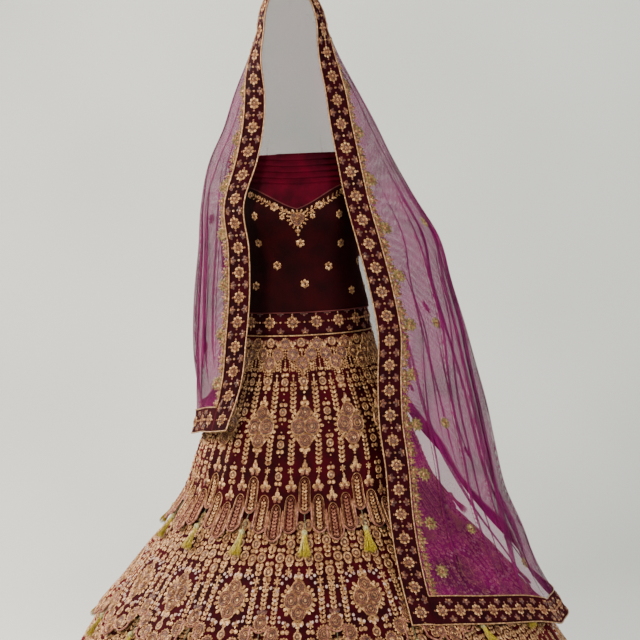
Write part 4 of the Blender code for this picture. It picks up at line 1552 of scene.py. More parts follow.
tier_3_work = Work(tier_3_surface, TIER_3_TALL)
lay_spots(tier_3_work, TIER_3, TIER_3_SPOTS)
for column in TIER_3_COLUMNS:
    for share in column.shares:
        lay_line(
            tier_3_work, TIER_3, share, column.names, column.foot, TIER_3_COLUMN_TOP, TIER_3_COLUMN_SIZE
        )
for share, top in ((0.25, -0.8000), (-0.25, -0.8000), (0.5, -0.7840)):
    lay_ear(tier_3_work, TIER_3, share, top, -0.8850, 0.0086)
lay_pearl_ring(tier_3_work, TIER_3, 0.0, -0.8250, 0.19, 0.0640, size=1.1)
lay_pearls(tier_3_work, TIER_3, TIER_3_PEARLS, 1.1)
tier_3_embroidery = tier_3_work.sew("tier_3_embroidery")

# %% [markdown]
# The waistband is a straight band of the same velvet with a row of flowers, finished with gold
# piping along its lower edge.

# %% Waistband
BAND_COLUMNS = 180
BAND_ROWS = 6
BAND_FLOWERS = 18
BAND_FLOWER_START = -8.5
BAND_MIDDLE = (BAND_TOP + BAND_BOTTOM) / 2
WAIST_PIPING = 0.0017
ROUND = np.linspace(-np.pi, np.pi, 361)


def band_surface(angle, height, out=0.0):
    return skirt(angle, height, TIER_CLEAR + VELVET + out)


def place_band(column, row):
    height = BAND_BOTTOM + (BAND_TOP - BAND_BOTTOM) * row / BAND_ROWS
    return band_surface(column * 2 * np.pi / BAND_COLUMNS, height)


waistband, waistband_area = make_sheet(
    "waistband_velvet", BAND_COLUMNS, BAND_ROWS, place_band, border_velvet, VELVET_WALL
)
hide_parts("waistband_front", "waistband_back")
band_work = Work(band_surface)
flower_angles = np.radians(BAND_FLOWER_START + np.arange(BAND_FLOWERS) * 360 / BAND_FLOWERS)
between = flower_angles + math.pi / BAND_FLOWERS
band_work.lay("rich_flower", flower_angles, BAND_MIDDLE - 0.002, 1.05)
band_work.lay("corner_bud", between, BAND_BOTTOM + 0.006, 1.15)
band_work.lay("corner_bud", between, BAND_MIDDLE + 0.022, 1.1, 180)
band_work.lay("bead", between, BAND_MIDDLE - 0.002, 1.2)
band_work.lay("leaf", flower_angles, BAND_MIDDLE + 0.014, 0.6)
waistband_embroidery = band_work.sew("waistband_embroidery")

# Painted shade, own tone and painted glint of the gold piping.
gold_piping = zari("gold_piping", "#6c4628", "#9c744a", "#cda574", 0.5)
waist_piping = make_piping(
    "waistband_piping",
    [path_on(band_surface, ROUND, BAND_BOTTOM, 0.0012, True)],
    WAIST_PIPING,
    gold_piping,
)

# %% [markdown]
# The choli is a fitted tube of velvet up to its neckline. It is plain but for scattered flowers, a
# spray of leaves below the neckline and a jewelled pendant at its point.

# %% Choli
CHOLI_COLUMNS = 240
CHOLI_ROWS = 36
CHOLI_PIPING = 0.0015


def place_choli(column, row):
    angle = (column / CHOLI_COLUMNS * 2 - 1) * np.pi
    top = neckline(angle)
    return choli_surface(angle, CHOLI_HEM + (top - CHOLI_HEM) * row / CHOLI_ROWS)


choli, choli_area = make_sheet(
    "choli_velvet", CHOLI_COLUMNS, CHOLI_ROWS, place_choli, choli_velvet, VELVET_WALL
)
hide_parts("choli_front", "choli_back")

# Flowers scattered over the choli: angle and height of each.
CHOLI_FLOWERS = (
    (-36.6, 0.225), (35.7, 0.222), (-40, 0.163), (1.6, 0.160), (43, 0.155),
    (-22, 0.110), (29, 0.104), (-45, 0.064), (4, 0.067), (52, 0.045),
    (-68, 0.200), (-72, 0.118), (-84, 0.050), (70, 0.195), (76, 0.110), (86, 0.050),
    (100, 0.215), (106, 0.140), (-98, 0.215), (-104, 0.140), (-112, 0.062), (118, 0.062),
    (132, 0.190), (140, 0.110), (150, 0.050), (164, 0.155), (180, 0.215), (180, 0.100),
    (-132, 0.190), (-140, 0.110), (-150, 0.050), (-164, 0.155),
)
Leaf = namedtuple("Leaf", "x drop turn_deg size")
# Leaves of the spray under one side of the neckline: x from the middle, drop below the edge.
SPRAY = (
    Leaf(0.0130, 0.0130, -70, 0.80),
    Leaf(0.0215, 0.0160, -12, 0.90),
    Leaf(0.0240, 0.0180, -108, 0.90),
    Leaf(0.0300, 0.0155, -20, 0.95),
    Leaf(0.0320, 0.0195, -122, 0.85),
    Leaf(0.0375, 0.0150, -34, 0.80),
    Leaf(0.0560, 0.0160, -10, 0.95),
    Leaf(0.0585, 0.0185, -105, 0.90),
    Leaf(0.0655, 0.0160, -18, 0.95),
    Leaf(0.0680, 0.0185, -110, 0.90),
    Leaf(0.0755, 0.0155, -25, 0.95),
    Leaf(0.0780, 0.0180, -112, 0.90),
    Leaf(0.0850, 0.0150, -30, 0.90),
    Leaf(0.0870, 0.0175, -112, 0.80),
    Leaf(0.0940, 0.0145, -45, 0.85),
)


def neck_place(x, drop):
    """Angle and height of a place below the neckline."""
    angle = math.asin(x / read(TORSO, NECK_SIDE, "half_width"))
    return angle, float(neckline(angle)) - drop


choli_work = Work(choli_surface)
for degrees, height in CHOLI_FLOWERS:
    choli_work.lay("flower", math.radians(degrees), height, 0.98)
for side in (-1, 1):
    for leaf in SPRAY:
        angle, height = neck_place(side * leaf.x, leaf.drop)
        choli_work.lay("leaf_tip", angle, height, leaf.size, side * leaf.turn_deg)
    for x, drop, size in ((0.048, 0.0165, 0.95), (0.0995, 0.0150, 0.80), (0.033, 0.0320, 0.60)):
        angle, height = neck_place(side * x, drop)
        choli_work.lay("flower", angle, height, size)
choli_work.lay("pendant", 0.0, NECK_POINT - 0.0205, 1.0)
choli_embroidery = choli_work.sew("choli_embroidery")

FRONT_NECK = np.linspace(-np.pi, np.pi, 481)
rose_piping = velvet("dusty_rose_piping", "#3c1818", "#5a2e2c", "#a06060", 0.3)
choli_piping = make_piping(
    "choli_piping",
    [
        path_on(choli_surface, FRONT_NECK, neckline(FRONT_NECK), -0.0006, True),
        path_on(choli_surface, ROUND, CHOLI_HEM + 0.001, -0.0004, True),
    ],
    CHOLI_PIPING,
    rose_piping,
)

# %% [markdown]
# The yoke fills the neckline with cloth laid in soft horizontal pleats. Each pleat is a rounded
# roll that is full at its foot and thins upwards, and the pleats wander a little, as hand-set ones
# do.

# %% Pleated yoke
YOKE_COLUMNS = 150
YOKE_ROWS = 72
PLEAT_WANDER = 0.0026


def yoke_surface(angle, height, out=0.0):
    wander = PLEAT_WANDER * (np.sin(2.3 * angle + 0.6) + 0.6 * np.sin(5.1 * angle + 2.0))
    level = (height + wander - PLEAT_BASE) / (YOKE_TOP - PLEAT_BASE) * YOKE_PLEATS
    phase = level % 1.0
    roll = np.sin(np.pi * phase**0.6) ** 1.3
    raised = PLEAT_DEPTH * roll * ease(level * 2)
    return torso(angle, height, CHOLI_OUT - SEAM_GAP - YOKE_CLOTH + 0.0012 + raised + out)


def place_yoke(column, row):
    angle = (column / YOKE_COLUMNS * 2 - 1) * np.pi
    foot = neckline(angle) - YOKE_TUCK
    return yoke_surface(angle, foot + (YOKE_TOP - foot) * row / YOKE_ROWS)


yoke, yoke_area = make_sheet("yoke_velvet", YOKE_COLUMNS, YOKE_ROWS, place_yoke, yoke_cloth, YOKE_WALL)
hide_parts("yoke_front", "yoke_back")

# %% [markdown]
# The dupatta's net is a single layer. Where it is gathered it doubles back on itself in narrow
# pleats, and three layers lie over each other, which is why the folds look darker than the rest.
# Each gather gets its own close columns in the grid, whose points loop out and back.

# %% Net of the dupatta
Gather = namedtuple("Gather", "place loop top fade")
# Place runs from the right front edge (-21) by the back (0) to the left one (21).
GATHERS = (
    Gather(-16.6, 0.0040, 0.10, 0.35),
    Gather(-15.0, 0.0050, 0.36, 0.30),
    Gather(-13.7, 0.0035, 0.22, 0.30),
    Gather(-12.4, 0.0055, 0.40, 0.30),
    Gather(-11.2, 0.0045, 0.34, 0.25),
    Gather(-10.3, 0.0060, 0.44, 0.25),
    Gather(-9.2, 0.0050, 0.42, 0.25),
    Gather(-7.6, 0.0045, 0.36, 0.25),
    Gather(-5.5, 0.0050, 0.40, 0.25),
    Gather(-2.8, 0.0045, 0.44, 0.25),
    Gather(0.4, 0.0045, 0.40, 0.25),
    Gather(3.2, 0.0045, 0.44, 0.25),
    Gather(6.1, 0.0045, 0.38, 0.25),
    Gather(8.4, 0.0055, 0.42, 0.22),
    Gather(10.2, 0.0050, 0.38, 0.22),
    Gather(11.8, 0.0055, 0.42, 0.22),
    Gather(13.4, 0.0040, 0.36, 0.22),
    Gather(15.2, 0.0045, 0.30, 0.22),
)
GATHER_STEPS = 8
GATHER_ROOM = 0.12
PLAIN_COLUMNS = 150
NET_ROWS = 112
NET_EDGE = LAST_COLUMN - 2.4
NET_FOOT = BORDER_ROW + 0.4

plain = [(place, 0, 0.0) for place in np.linspace(-NET_EDGE, NET_EDGE, PLAIN_COLUMNS)]
pleated = [
    (gather.place, number + 1, step / GATHER_STEPS)
    for number, gather in enumerate(GATHERS)
    for step in range(GATHER_STEPS + 1)
]
clear = [row for row in plain if all(abs(row[0] - gather.place) > GATHER_ROOM for gather in GATHERS)]
net_columns = np.array(sorted(clear + pleated))


def place_net(column, row):
    """Points of the net. In a gather the cloth swings out, doubles back and swings out again."""
    start, number, step = net_columns[column].T
    up = -NET_FOOT * (1 - row / NET_ROWS)
    loops = np.array([0.0] + [gather.loop for gather in GATHERS])[number.astype(int)]
    tops = np.array([0.0] + [gather.top for gather in GATHERS])[number.astype(int)]
    fades = np.array([1.0] + [gather.fade for gather in GATHERS])[number.astype(int)]
    base = net_surface(start, up)
    height = base[:, 2]
    grown = ease((tops - height) / fades) * ease((BORDER_ROW + up) / 1.5) * (number > 0)
    size = loops * grown
    beside = unit(net_surface(start + 0.05, up) - net_surface(start - 0.05, up))
    outward = unit(net_surface(start, up, 0.001) - base)
    swing = -np.sin(2 * np.pi * step) * size + (step - 0.5) * (size * 0.6 + 0.0012)
    lift = np.sin(np.pi * step) ** 2 * size * 1.5
    return base + beside * swing[:, None] + outward * lift[:, None]


net, net_area = make_sheet("dupatta_tulle", len(net_columns) - 1, NET_ROWS, place_net, magenta_net)
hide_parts("dupatta_net")


def add_cloth_uv(piece, across, up):
    """Writes a UV map in metres: the two functions give it from the points."""
    points = np.empty(len(piece.data.vertices) * 3)
    piece.data.vertices.foreach_get("co", points)
    points = points.reshape(-1, 3)
    corners = np.empty(len(piece.data.loops), int)
    piece.data.loops.foreach_get("vertex_index", corners)
    layer = piece.data.uv_layers.new(name="cloth")
    flat = np.stack([across(points), up(points)], -1)[corners]
    layer.data.foreach_set("uv", flat.ravel())


def across_net(points):
    return np.arctan2(points[:, 0], -points[:, 1] + 0.02) * 0.30


add_cloth_uv(net, across_net, lambda points: points[:, 2])

# %% [markdown]
# Where the net is drawn together, rolled folds run down and across it. Each is a flat roll of the
# same net that swells from nothing and thins out again, given by a few places along it.

# %% Rolled folds of the net
Stop = namedtuple("Stop", "share place up")
Roll = namedtuple("Roll", "width places")
ROLLS = (
    Roll(
        0.026,
        ((-12.9, -7.2), (-12.6, -9.4), (-12.5, -10.6), (-13.1, -11.8), (-13.7, -13.2), (-14.1, -14.2)),
    ),
    Roll(
        0.010,
        (
            (-18.2, -9.2), (-17.3, -10.0), (-16.7, -10.9), (-16.1, -11.7), (-15.1, -12.4), (-13.9, -13.3),
            (-13.3, -14.1),
        ),
    ),
    Roll(
        0.008,
        ((-13.3, -7.6), (-14.0, -9.0), (-14.4, -10.4), (-14.4, -11.6), (-14.3, -12.6), (-14.7, -14.0)),
    ),
    Roll(0.006, ((-15.5, -9.3), (-15.0, -10.5), (-14.8, -11.2), (-14.4, -11.8))),
    Roll(0.005, ((-13.8, -12.8), (-13.1, -13.5), (-12.0, -14.2))),
    Roll(0.005, ((-17.0, -8.2), (-16.4, -9.2), (-16.0, -10.4), (-15.9, -11.4))),
    Roll(0.005, ((-19.0, -4.4), (-16.4, -5.0), (-14.8, -6.0), (-13.6, -7.2))),
    Roll(0.007, ((-17.4, -4.2), (-15.0, -5.0), (-13.6, -5.8), (-12.8, -7.0))),
    Roll(0.010, ((16.4, -4.6), (14.6, -5.6), (13.4, -6.8), (13.2, -8.6))),
    Roll(0.006, ((17.2, -5.6), (15.6, -7.0), (14.8, -8.8), (14.6, -10.4))),
    Roll(0.014, ((13.6, -8.0), (13.4, -10.0), (13.8, -12.0), (13.6, -13.9))),
    Roll(0.007, ((15.4, -8.6), (14.9, -10.4), (15.2, -12.0), (15.0, -13.8))),
    Roll(0.008, ((12.4, -6.5), (11.8, -9.0), (11.9, -11.5), (11.4, -13.6))),
    Roll(0.012, ((-9.6, -6.5), (-9.2, -9.0), (-9.6, -12.0), (-8.8, -13.9))),
    Roll(0.010, ((-6.6, -7.0), (-6.0, -9.5), (-6.3, -12.0), (-5.7, -13.9))),
    Roll(0.013, ((-2.9, -8.6), (-3.3, -9.8), (-2.5, -11.0), (-2.9, -13.8))),
    Roll(0.009, ((0.6, -8.6), (1.2, -9.8), (0.6, -11.5), (1.1, -13.8))),
    Roll(0.013, ((4.3, -8.4), (3.8, -9.6), (4.5, -11.4), (4.0, -13.8))),
    Roll(0.009, ((7.6, -6.6), (8.1, -9.2), (7.5, -11.6), (8.2, -13.8))),
)
ROLL_STEPS = 60
ROLL_SIDES = 8
ROLL_FLATTEN = 0.24


def roll_tube(roll):
    marks = np.linspace(0, 1, len(roll.places))
    stops = [Stop(mark, *place) for mark, place in zip(marks, roll.places)]
    t = np.linspace(0, 1, ROLL_STEPS + 1)
    half = roll.width / 2 * np.sin(np.pi * t) ** 0.7 + 1e-7
    places = (read(stops, t, "place"), read(stops, t, "up"))
    tall = half * ROLL_FLATTEN
    points, outward, _ = path_on(net_surface, *places, tall + 0.0004)
    return tube(points, outward, half, tall, ROLL_SIDES)


net_rolls = join_tubes("dupatta_folds", [roll_tube(roll) for roll in ROLLS], magenta_net, ROLL_SIDES)
add_cloth_uv(net_rolls, across_net, lambda points: points[:, 2])

# %% [markdown]
# Both borders are strips of velvet sewn over the net. The front one is laid from corner to corner
# over the crown. Flowers are set evenly along it, by its real length, with buds between them, and
# gold piping covers both of its edges.

# %% Borders of the dupatta
BORDER_ALONG = 420
BORDER_ACROSS = 8
HEM_STEPS = 300
BORDER_LIFT = SEAM_GAP + VELVET_WALL
HEM_TUCK = 0.0004
HEM_OVERLAP = 0.15
FLOWER_STEP = 0.0555
HEM_FLOWER_STEP = 0.046
BUD_INSET = 0.42
HEM_BUD_INSET = 0.28
DUPATTA_PIPING = 0.0016


def border_surface(column, along, out=0.0):
    return edge_surface(column, along, out + BORDER_LIFT)


def hem_surface(place, up, out=0.0):
    return net_surface(place, up, out + BORDER_LIFT - HEM_TUCK)


def place_front_border(column, row):
    along = (1 - 2 * column / BORDER_ALONG) * LAST_ROW
    return border_surface(BORDER_COLUMNS * row / BORDER_ACROSS, along)


def place_hem_border(column, row):
    place = (2 * column / HEM_STEPS - 1) * (LAST_COLUMN - BORDER_COLUMNS + HEM_OVERLAP)
    return hem_surface(place, -LAST_ROW + (LAST_ROW - BORDER_ROW) * row / BORDER_ACROSS)


front_border, front_border_area = make_sheet(
    "dupatta_front_velvet", BORDER_ALONG, BORDER_ACROSS, place_front_border, border_velvet, BORDER_WALL
)
hem_border, hem_border_area = make_sheet(
    "dupatta_hem_velvet", HEM_STEPS, BORDER_ACROSS, place_hem_border, border_velvet, BORDER_WALL
)
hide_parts("dupatta_front_border")
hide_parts("dupatta_hem_border")


def even_places(surface, fixed, values, step, first_is_u, start=0.5):
    """Values along a line of a surface that lie an even distance apart, and the line's length."""
    points = surface(fixed, values) if first_is_u else surface(values, fixed)
    steps = np.linalg.norm(np.diff(points, axis=0), axis=-1)
    gone = np.concatenate([[0], np.cumsum(steps)])
    count = round(gone[-1] / step)
    wanted = np.arange(start, count) * gone[-1] / count
    return np.interp(wanted, gone, values), float(gone[-1])


def lay_border(work, surface, middle, low, high, line, step, first_is_u, turn_deg):
    """Flowers along the middle of a border, with buds along both edges between them."""
    flowers, length = even_places(surface, middle, line, step, first_is_u)
    gaps, _ = even_places(surface, middle, line, step, first_is_u, 1.0)
    for name, across, along, size, turn in (
        ("rich_flower", middle, flowers, 1.05, 0),
        ("corner_bud", low, gaps, 1.25, turn_deg),
        ("corner_bud", high, gaps, 1.25, turn_deg + 180),
        ("bead", middle, gaps, 1.3, 0),
    ):
        work.lay(name, *((across, along) if first_is_u else (along, across)), size, turn)
    return length


along_line = np.linspace(-LAST_ROW, LAST_ROW, 1601)
border_work = Work(border_surface)
front_length = lay_border(
    border_work, border_surface, BORDER_COLUMNS / 2, BUD_INSET, BORDER_COLUMNS - BUD_INSET, along_line,
    FLOWER_STEP, True, -90,
)
front_border_embroidery = border_work.sew("dupatta_front_embroidery")

hem_line = np.linspace(-(LAST_COLUMN - BORDER_COLUMNS), LAST_COLUMN - BORDER_COLUMNS, 1201)
hem_middle = -(LAST_ROW + BORDER_ROW) / 2
hem_work = Work(hem_surface)
hem_length = lay_border(
    hem_work, hem_surface, hem_middle, HEM_BUD_INSET - LAST_ROW, -HEM_BUD_INSET - BORDER_ROW, hem_line,
    HEM_FLOWER_STEP, False, 0,
)
hem_border_embroidery = hem_work.sew("dupatta_hem_embroidery")
print("borders", round(front_length, 2), "m and", round(hem_length, 2), "m long")

fine_line = np.linspace(-LAST_ROW, LAST_ROW, 701)
inner_line = np.linspace(-BORDER_ROW, BORDER_ROW, 601)
hem_end = LAST_COLUMN - BORDER_COLUMNS
wide_line = np.linspace(-LAST_COLUMN + 0.05, LAST_COLUMN - 0.05, 601)
dupatta_piping = make_piping(
    "dupatta_piping",
    [
        path_on(border_surface, 0.05, fine_line, 0.0006),
        path_on(border_surface, BORDER_COLUMNS - 0.02, inner_line, 0.0006),
        path_on(hem_surface, wide_line, -LAST_ROW + 0.03, 0.0006),
        path_on(hem_surface, np.linspace(-hem_end, hem_end, 481), -BORDER_ROW, 0.0006),
    ],
    DUPATTA_PIPING,
    gold_piping,
)

# %% [markdown]
# A trim of olive-gold sprigs edges the border on the net side, with a fuller flower every hand's
# width, and a few large flowers are scattered on the net.

# %% Trim and scattered flowers on the net
TRIM_STEP = 0.0200
TRIM_FLOWER_STEP = 0.1120
TRIM_COLUMN = BORDER_COLUMNS + 0.12
SPRIG_SIZE = 1.55
SPRIG_UNEVEN = 0.35
SPRIG_LEAN = 14
NET_FLOWERS = (
    (-13.2, -7.4), (-15.3, -9.3), (-15.6, -11.1), (-15.4, -12.9), (-13.2, -13.4), (-8.4, -9.5),
    (-6.0, -13.3), (-8.5, -12.6), (-4.0, -10.6), (-1.0, -9.0), (-1.6, -12.4), (2.0, -10.4),
    (4.6, -8.8), (4.8, -12.6), (7.5, -10.6), (9.6, -9.0), (10.4, -12.6),
)
trim_work = Work(edge_surface)
sprigs, _ = even_places(edge_surface, TRIM_COLUMN, inner_line, TRIM_STEP, True)
clusters, _ = even_places(edge_surface, TRIM_COLUMN, inner_line, TRIM_FLOWER_STEP, True)
number = np.arange(len(sprigs))
uneven = SPRIG_SIZE + SPRIG_UNEVEN * np.sin(number * 2.4)
trim_work.lay("sprig", TRIM_COLUMN, sprigs, uneven, -90 + SPRIG_LEAN * np.sin(number * 1.7))
trim_work.lay("net_flower", TRIM_COLUMN + 0.62, clusters, 1.35, 0)
trim_work.lay("sprig", TRIM_COLUMN + 0.5, clusters, 1.5, -90)
dupatta_trim = trim_work.sew("dupatta_trim")
scatter_work = Work(net_surface)
for place, up in NET_FLOWERS:
    scatter_work.lay("net_flower", place, up, 1.15)
net_flowers = scatter_work.sew("dupatta_net_flowers")

# %% [markdown]
# The tiers' stepped edges are bound with a thin rose-gold piping that follows every tab.

# %% Edge piping of the tiers
TIER_PIPING = 0.0024


def edge_path(tier, surface):
    shares = tier_columns(tier)
    return path_on(surface, share_angle(tier, shares), tier.notch - tab_edge(shares), -0.0006, True)


# Painted shade, own tone and painted glint of the rose-gold piping.
edge_thread = zari("rose_gold_piping", "#4e281e", "#84503e", "#b47e66", 0.5)
tier_piping = make_piping(
    "tier_edge_piping",
    [edge_path(TIER_1, tier_1_surface), edge_path(TIER_2, tier_2_surface)],
    TIER_PIPING,
    edge_thread,
)

# %% [markdown]
# Below each notch hangs a tassel: a twisted sage cord, a thread-wrapped bead and a skirt of yellow
# floss. One tassel is built hanging straight down and copied to every notch, turned to lie along
# the slope of the tier below.

# %% Tassels
CORD_RADIUS = 0.0013
PLY_RADIUS = CORD_RADIUS * 0.62
CORD_LENGTH = 0.043
CORD_TURNS = 5
CORD_STEPS = 24
BEAD_RADIUS = 0.0066
BEAD_HEIGHT = 0.0130
SILK_LENGTH = 0.054
SILK_HALF_WIDTH = 0.0165
SILK_ROOT_WIDTH = 0.0042
SILK_SWAY = 0.0016
SILK_FLATTEN = 0.55
STRANDS = 54
STRAND_RADIUS = 0.0010
STRAND_STEPS = 4
TASSEL_DROP = 0.0026
TASSEL_OUT = 0.0180
TASSEL_REACH = 0.092
GOLDEN_TURN = math.radians(137.5)


def tassel_cord(bm):
    """Two plies twisted round each other."""
    for side in (1, -1):
        ring = bmesh.ops.create_circle(bm, cap_ends=True, segments=5, radius=PLY_RADIUS)["verts"]
        bmesh.ops.translate(bm, vec=(side * CORD_RADIUS / 2, 0, 0), verts=ring)
        face = ring[0].link_faces[0]
        for step in range(CORD_STEPS):
            made = bmesh.ops.extrude_discrete_faces(bm, faces=[face])["faces"][0]
            twist = Matrix.Rotation(2 * math.pi * CORD_TURNS / CORD_STEPS, 4, "Z")
            drop = Matrix.Translation((0, 0, -CORD_LENGTH / CORD_STEPS))
            bmesh.ops.transform(bm, matrix=drop @ twist, verts=made.verts)
            face = made


def tassel_bead(bm):
    """A wrapped bead between two thin collars."""
    for height, radius, tall in (
        (-CORD_LENGTH - BEAD_HEIGHT * 0.5, BEAD_RADIUS, 1.05),
        (-CORD_LENGTH - 0.0008, BEAD_RADIUS * 0.55, 0.55),
        (-CORD_LENGTH - BEAD_HEIGHT + 0.0006, BEAD_RADIUS * 0.86, 0.36),
    ):
        made = bmesh.ops.create_uvsphere(bm, u_segments=14, v_segments=8, radius=radius)
        place = Matrix.Translation((0, 0, height)) @ Matrix.Diagonal((1, 1, tall, 1))
        bmesh.ops.transform(bm, matrix=place, verts=made["verts"])


def tassel_silk(bm):
    """Strands that leave the bead close together and spread as they fall."""
    root = -CORD_LENGTH - BEAD_HEIGHT + 0.001
    for strand in range(STRANDS):
        share = math.sqrt((strand + 0.5) / STRANDS)
        turn = strand * GOLDEN_TURN
        ring = bmesh.ops.create_circle(bm, cap_ends=True, segments=3, radius=STRAND_RADIUS)["verts"]
        length = SILK_LENGTH * (1 - 0.10 * ((strand * 7) % 5) / 4 - 0.05 * share)
        sway = SILK_SWAY * math.sin(strand * 2.1)

        def spread(t):
            reach = share * (SILK_ROOT_WIDTH + (SILK_HALF_WIDTH - SILK_ROOT_WIDTH) * t**1.5)
            return Vector((reach * math.cos(turn) + sway * t, reach * math.sin(turn), root - length * t))

        bmesh.ops.translate(bm, vec=spread(0), verts=ring)
        face = ring[0].link_faces[0]
        for step in range(STRAND_STEPS):
            made = bmesh.ops.extrude_discrete_faces(bm, faces=[face])["faces"][0]
            move = spread((step + 1) / STRAND_STEPS) - spread(step / STRAND_STEPS)
            bmesh.ops.translate(bm, vec=move, verts=made.verts)
            face = made
        middle = face.calc_center_median()
        bmesh.ops.scale(bm, vec=(0.4, 0.4, 1.0), verts=face.verts, space=Matrix.Translation(-middle))


def build_tassel():
    bm = bmesh.new()
    for number, draw in enumerate((tassel_cord, tassel_bead, tassel_silk)):
        before = len(bm.faces)
        draw(bm)
        bm.faces.ensure_lookup_table()
        for face in bm.faces[before:]:
            face.material_index = number
    bmesh.ops.remove_doubles(bm, verts=bm.verts, dist=1e-6)
    strands = [vert for vert in bm.verts if vert.co.z < -CORD_LENGTH - BEAD_HEIGHT]
    bmesh.ops.scale(bm, vec=(1, SILK_FLATTEN, 1), verts=strands)
    bmesh.ops.recalc_face_normals(bm, faces=bm.faces)
    mesh = bpy.data.meshes.new("tassel")
    bm.to_mesh(mesh)
    bm.free()
    return mesh


def skirt_point(angle, height, out):
    return Vector(skirt(angle, height, out).tolist())


def hang_tassels(tier, tassel):
    """Joins one tassel for every notch of a tier into one piece."""
    bm = bmesh.new()
    for number in range(tier.repeats):
        angle = share_angle(tier, number)
        stood = float(ease((tier.seat - tier.notch) / (tier.seat - tier.notch + SCALLOP_DROP)))
        out = TIER_CLEAR + TIER_STAND * stood
        top = skirt_point(angle, tier.notch - TASSEL_DROP, out + VELVET / 2)
        up = (top - skirt_point(angle, tier.notch - TASSEL_REACH, TASSEL_OUT)).normalized()
        inward = up.cross(Vector((math.cos(angle), math.sin(angle), 0))).normalized()
        turn = Matrix((inward.cross(up), inward, up)).transposed().to_4x4()
        swing = Matrix.Rotation(math.radians(5 * math.sin(number * 2.4)), 4, "Y")
        before = len(bm.verts)
        bm.from_mesh(tassel)
        bm.verts.ensure_lookup_table()
        bmesh.ops.transform(bm, matrix=Matrix.Translation(top) @ turn @ swing, verts=bm.verts[before:])
    mesh = bpy.data.meshes.new(f"{tier.name}_tassels")
    bm.to_mesh(mesh)
    bm.free()
    piece = add_piece(mesh.name, mesh, (cord_silk, bead_finish, yellow_silk))
    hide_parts(*[f"{tier.name}_tassel_{number + 1:02d}" for number in range(tier.repeats)])
    print(piece.name, len(mesh.polygons), "faces")


tassel_mesh = build_tassel()
hang_tassels(TIER_1, tassel_mesh)
hang_tassels(TIER_2, tassel_mesh)

# %% [markdown]
# The size each sheet of cloth was cut to is printed: a tier is a flared piece whose pattern lies
# inside a rectangle of its lower girth and its sloping length, once round.

# %% The cut of each cloth
def declare(piece, surface, low, high, area):
    width = max(girth(surface, low), girth(surface, high))
    length = slope_length(surface, low, high)
    print(piece.name, "cut", round(width, 2), "x", round(length, 2), "m, area", round(area, 2), "m2")


declare(
    tier_1_velvet, tier_1_surface, TIER_1.notch - SCALLOP_DROP, TIER_1.top, tier_1_area,
)
declare(
    tier_2_velvet, tier_2_surface, TIER_2.notch - SCALLOP_DROP, TIER_2.top, tier_2_area,
)
declare(
    tier_3_velvet, tier_3_surface, FLOOR, TIER_3_TOP, tier_3_area,
)
declare(
    waistband, band_surface, BAND_BOTTOM, BAND_TOP, waistband_area,
)
declare(
    choli, choli_surface, CHOLI_HEM, NECK_SIDE, choli_area,
)
declare(yoke, yoke_surface, NECK_POINT, YOKE_TOP, yoke_area)

net_line = np.linspace(-NET_FOOT, 0.0, 200)
net_fall = float(np.linalg.norm(np.diff(net_surface(-11.0, net_line), axis=0), axis=-1).sum())

# %% [markdown]
# The set stands on a pale floor that curves up into a backdrop, in soft studio light: a large key
# light from the front left, a weaker fill from the right, and a rim light from behind.

# %% Floor, backdrop and light
STAGE_HALF_WIDTH = 6.0
STAGE_FRONT = -5.0
STAGE_BACK = 3.2
STAGE_CURVE = 1.6
STAGE_TOP = 5.0
STAGE_GAP = 0.001
MOTTLES_PER_METRE = 0.6
WORLD_STRENGTH = 0.62


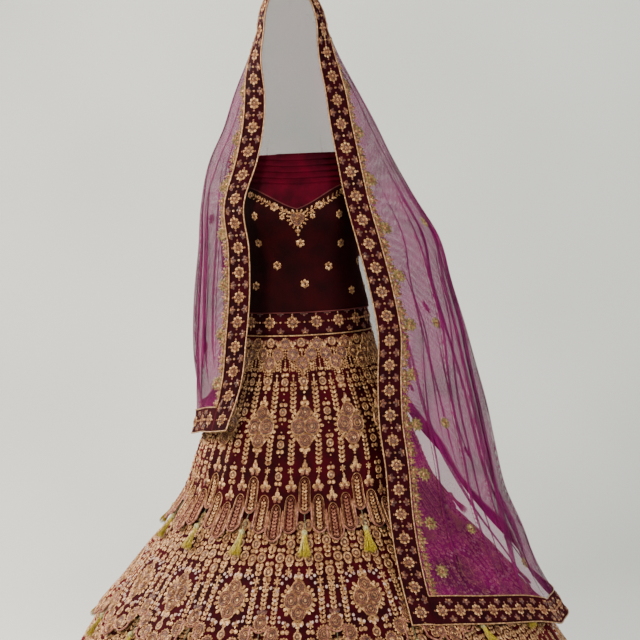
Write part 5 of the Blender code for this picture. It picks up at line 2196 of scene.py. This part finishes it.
def make_stage():
    bm = bmesh.new()
    left = bm.verts.new((-STAGE_HALF_WIDTH, STAGE_FRONT, FLOOR - STAGE_GAP))
    right = bm.verts.new((STAGE_HALF_WIDTH, STAGE_FRONT, FLOOR - STAGE_GAP))
    edge = bm.edges.new((left, right))
    floor = bmesh.ops.extrude_edge_only(bm, edges=[edge])["geom"]
    moved = [item for item in floor if isinstance(item, bmesh.types.BMVert)]
    bmesh.ops.translate(bm, vec=(0, STAGE_BACK - STAGE_CURVE - STAGE_FRONT, 0), verts=moved)
    edge = next(item for item in floor if isinstance(item, bmesh.types.BMEdge))
    centre = (0, STAGE_BACK - STAGE_CURVE, FLOOR + STAGE_CURVE)
    spun = bmesh.ops.spin(bm, geom=[edge], cent=centre, axis=(1, 0, 0), angle=math.pi / 2, steps=24)
    last = [item for item in spun["geom_last"] if isinstance(item, bmesh.types.BMEdge)]
    wall = bmesh.ops.extrude_edge_only(bm, edges=last)["geom"]
    moved = [item for item in wall if isinstance(item, bmesh.types.BMVert)]
    bmesh.ops.translate(bm, vec=(0, 0, STAGE_TOP), verts=moved)
    bmesh.ops.recalc_face_normals(bm, faces=bm.faces)
    bmesh.ops.reverse_faces(bm, faces=bm.faces)
    mesh = bpy.data.meshes.new("stage")
    bm.to_mesh(mesh)
    bm.free()
    mesh.shade_smooth()
    backdrop = bpy.data.objects.new("stage", mesh)
    bpy.context.scene.collection.objects.link(backdrop)
    made, tree, shader, place = new_material("grey_paper_backdrop")
    mottle = add_node(
        tree, "ShaderNodeTexNoise", {"Vector": place, "Scale": MOTTLES_PER_METRE, "Detail": 2.0}
    )
    colour = add_node(
        tree, "ShaderNodeValToRGB", {"Fac": mottle.outputs["Fac"]}, [(0.3, "#d2d6d0"), (0.7, "#e4e8e2")]
    )
    tree.links.new(colour.outputs["Color"], shader.inputs["Base Color"])
    shader.inputs["Roughness"].default_value = 0.9
    # The paper is clear from behind, so that the back of the set can be seen through it.
    rear = add_node(tree, "ShaderNodeNewGeometry").outputs["Backfacing"]
    seen = add_node(tree, "ShaderNodeMath", {0: 1.0, 1: rear}, operation="SUBTRACT")
    tree.links.new(seen.outputs["Value"], shader.inputs["Alpha"])
    mesh.materials.append(made)
    backdrop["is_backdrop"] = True


Lamp = namedtuple("Lamp", "name place target size watts colour")
LAMPS = (
    Lamp("key", (-2.2, -3.4, 2.4), (0, 0, -0.1), 1.4, 270, "#fff6ea"),
    Lamp("fill", (2.8, -3.0, 1.0), (0, 0, -0.2), 2.0, 150, "#f6f4ff"),
    Lamp("rim", (-2.6, 1.0, 1.2), (0, 0, -0.4), 1.4, 150, "#fff0ea"),
)


def add_light(lamp):
    light = bpy.data.lights.new(lamp.name, "AREA")
    light.shape = "DISK"
    light.size = lamp.size
    light.energy = lamp.watts
    light.color = linear(lamp.colour)[:3]
    placed = bpy.data.objects.new(lamp.name, light)
    bpy.context.scene.collection.objects.link(placed)
    placed.location = lamp.place
    towards = Vector(lamp.target) - Vector(lamp.place)
    placed.rotation_euler = towards.to_track_quat("-Z", "Y").to_euler()


make_stage()
for lamp in LAMPS:
    add_light(lamp)
print("lamps:", [lamp.name for lamp in LAMPS])
world = bpy.data.worlds.new("studio")
world.use_nodes = True
world.node_tree.nodes["Background"].inputs["Color"].default_value = linear("#dfe2e0")
world.node_tree.nodes["Background"].inputs["Strength"].default_value = WORLD_STRENGTH
bpy.context.scene.world = world

# %% Sizes
for corner, name in zip(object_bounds(), ("low", "high")):
    print(name, [round(value, 4) for value in corner])
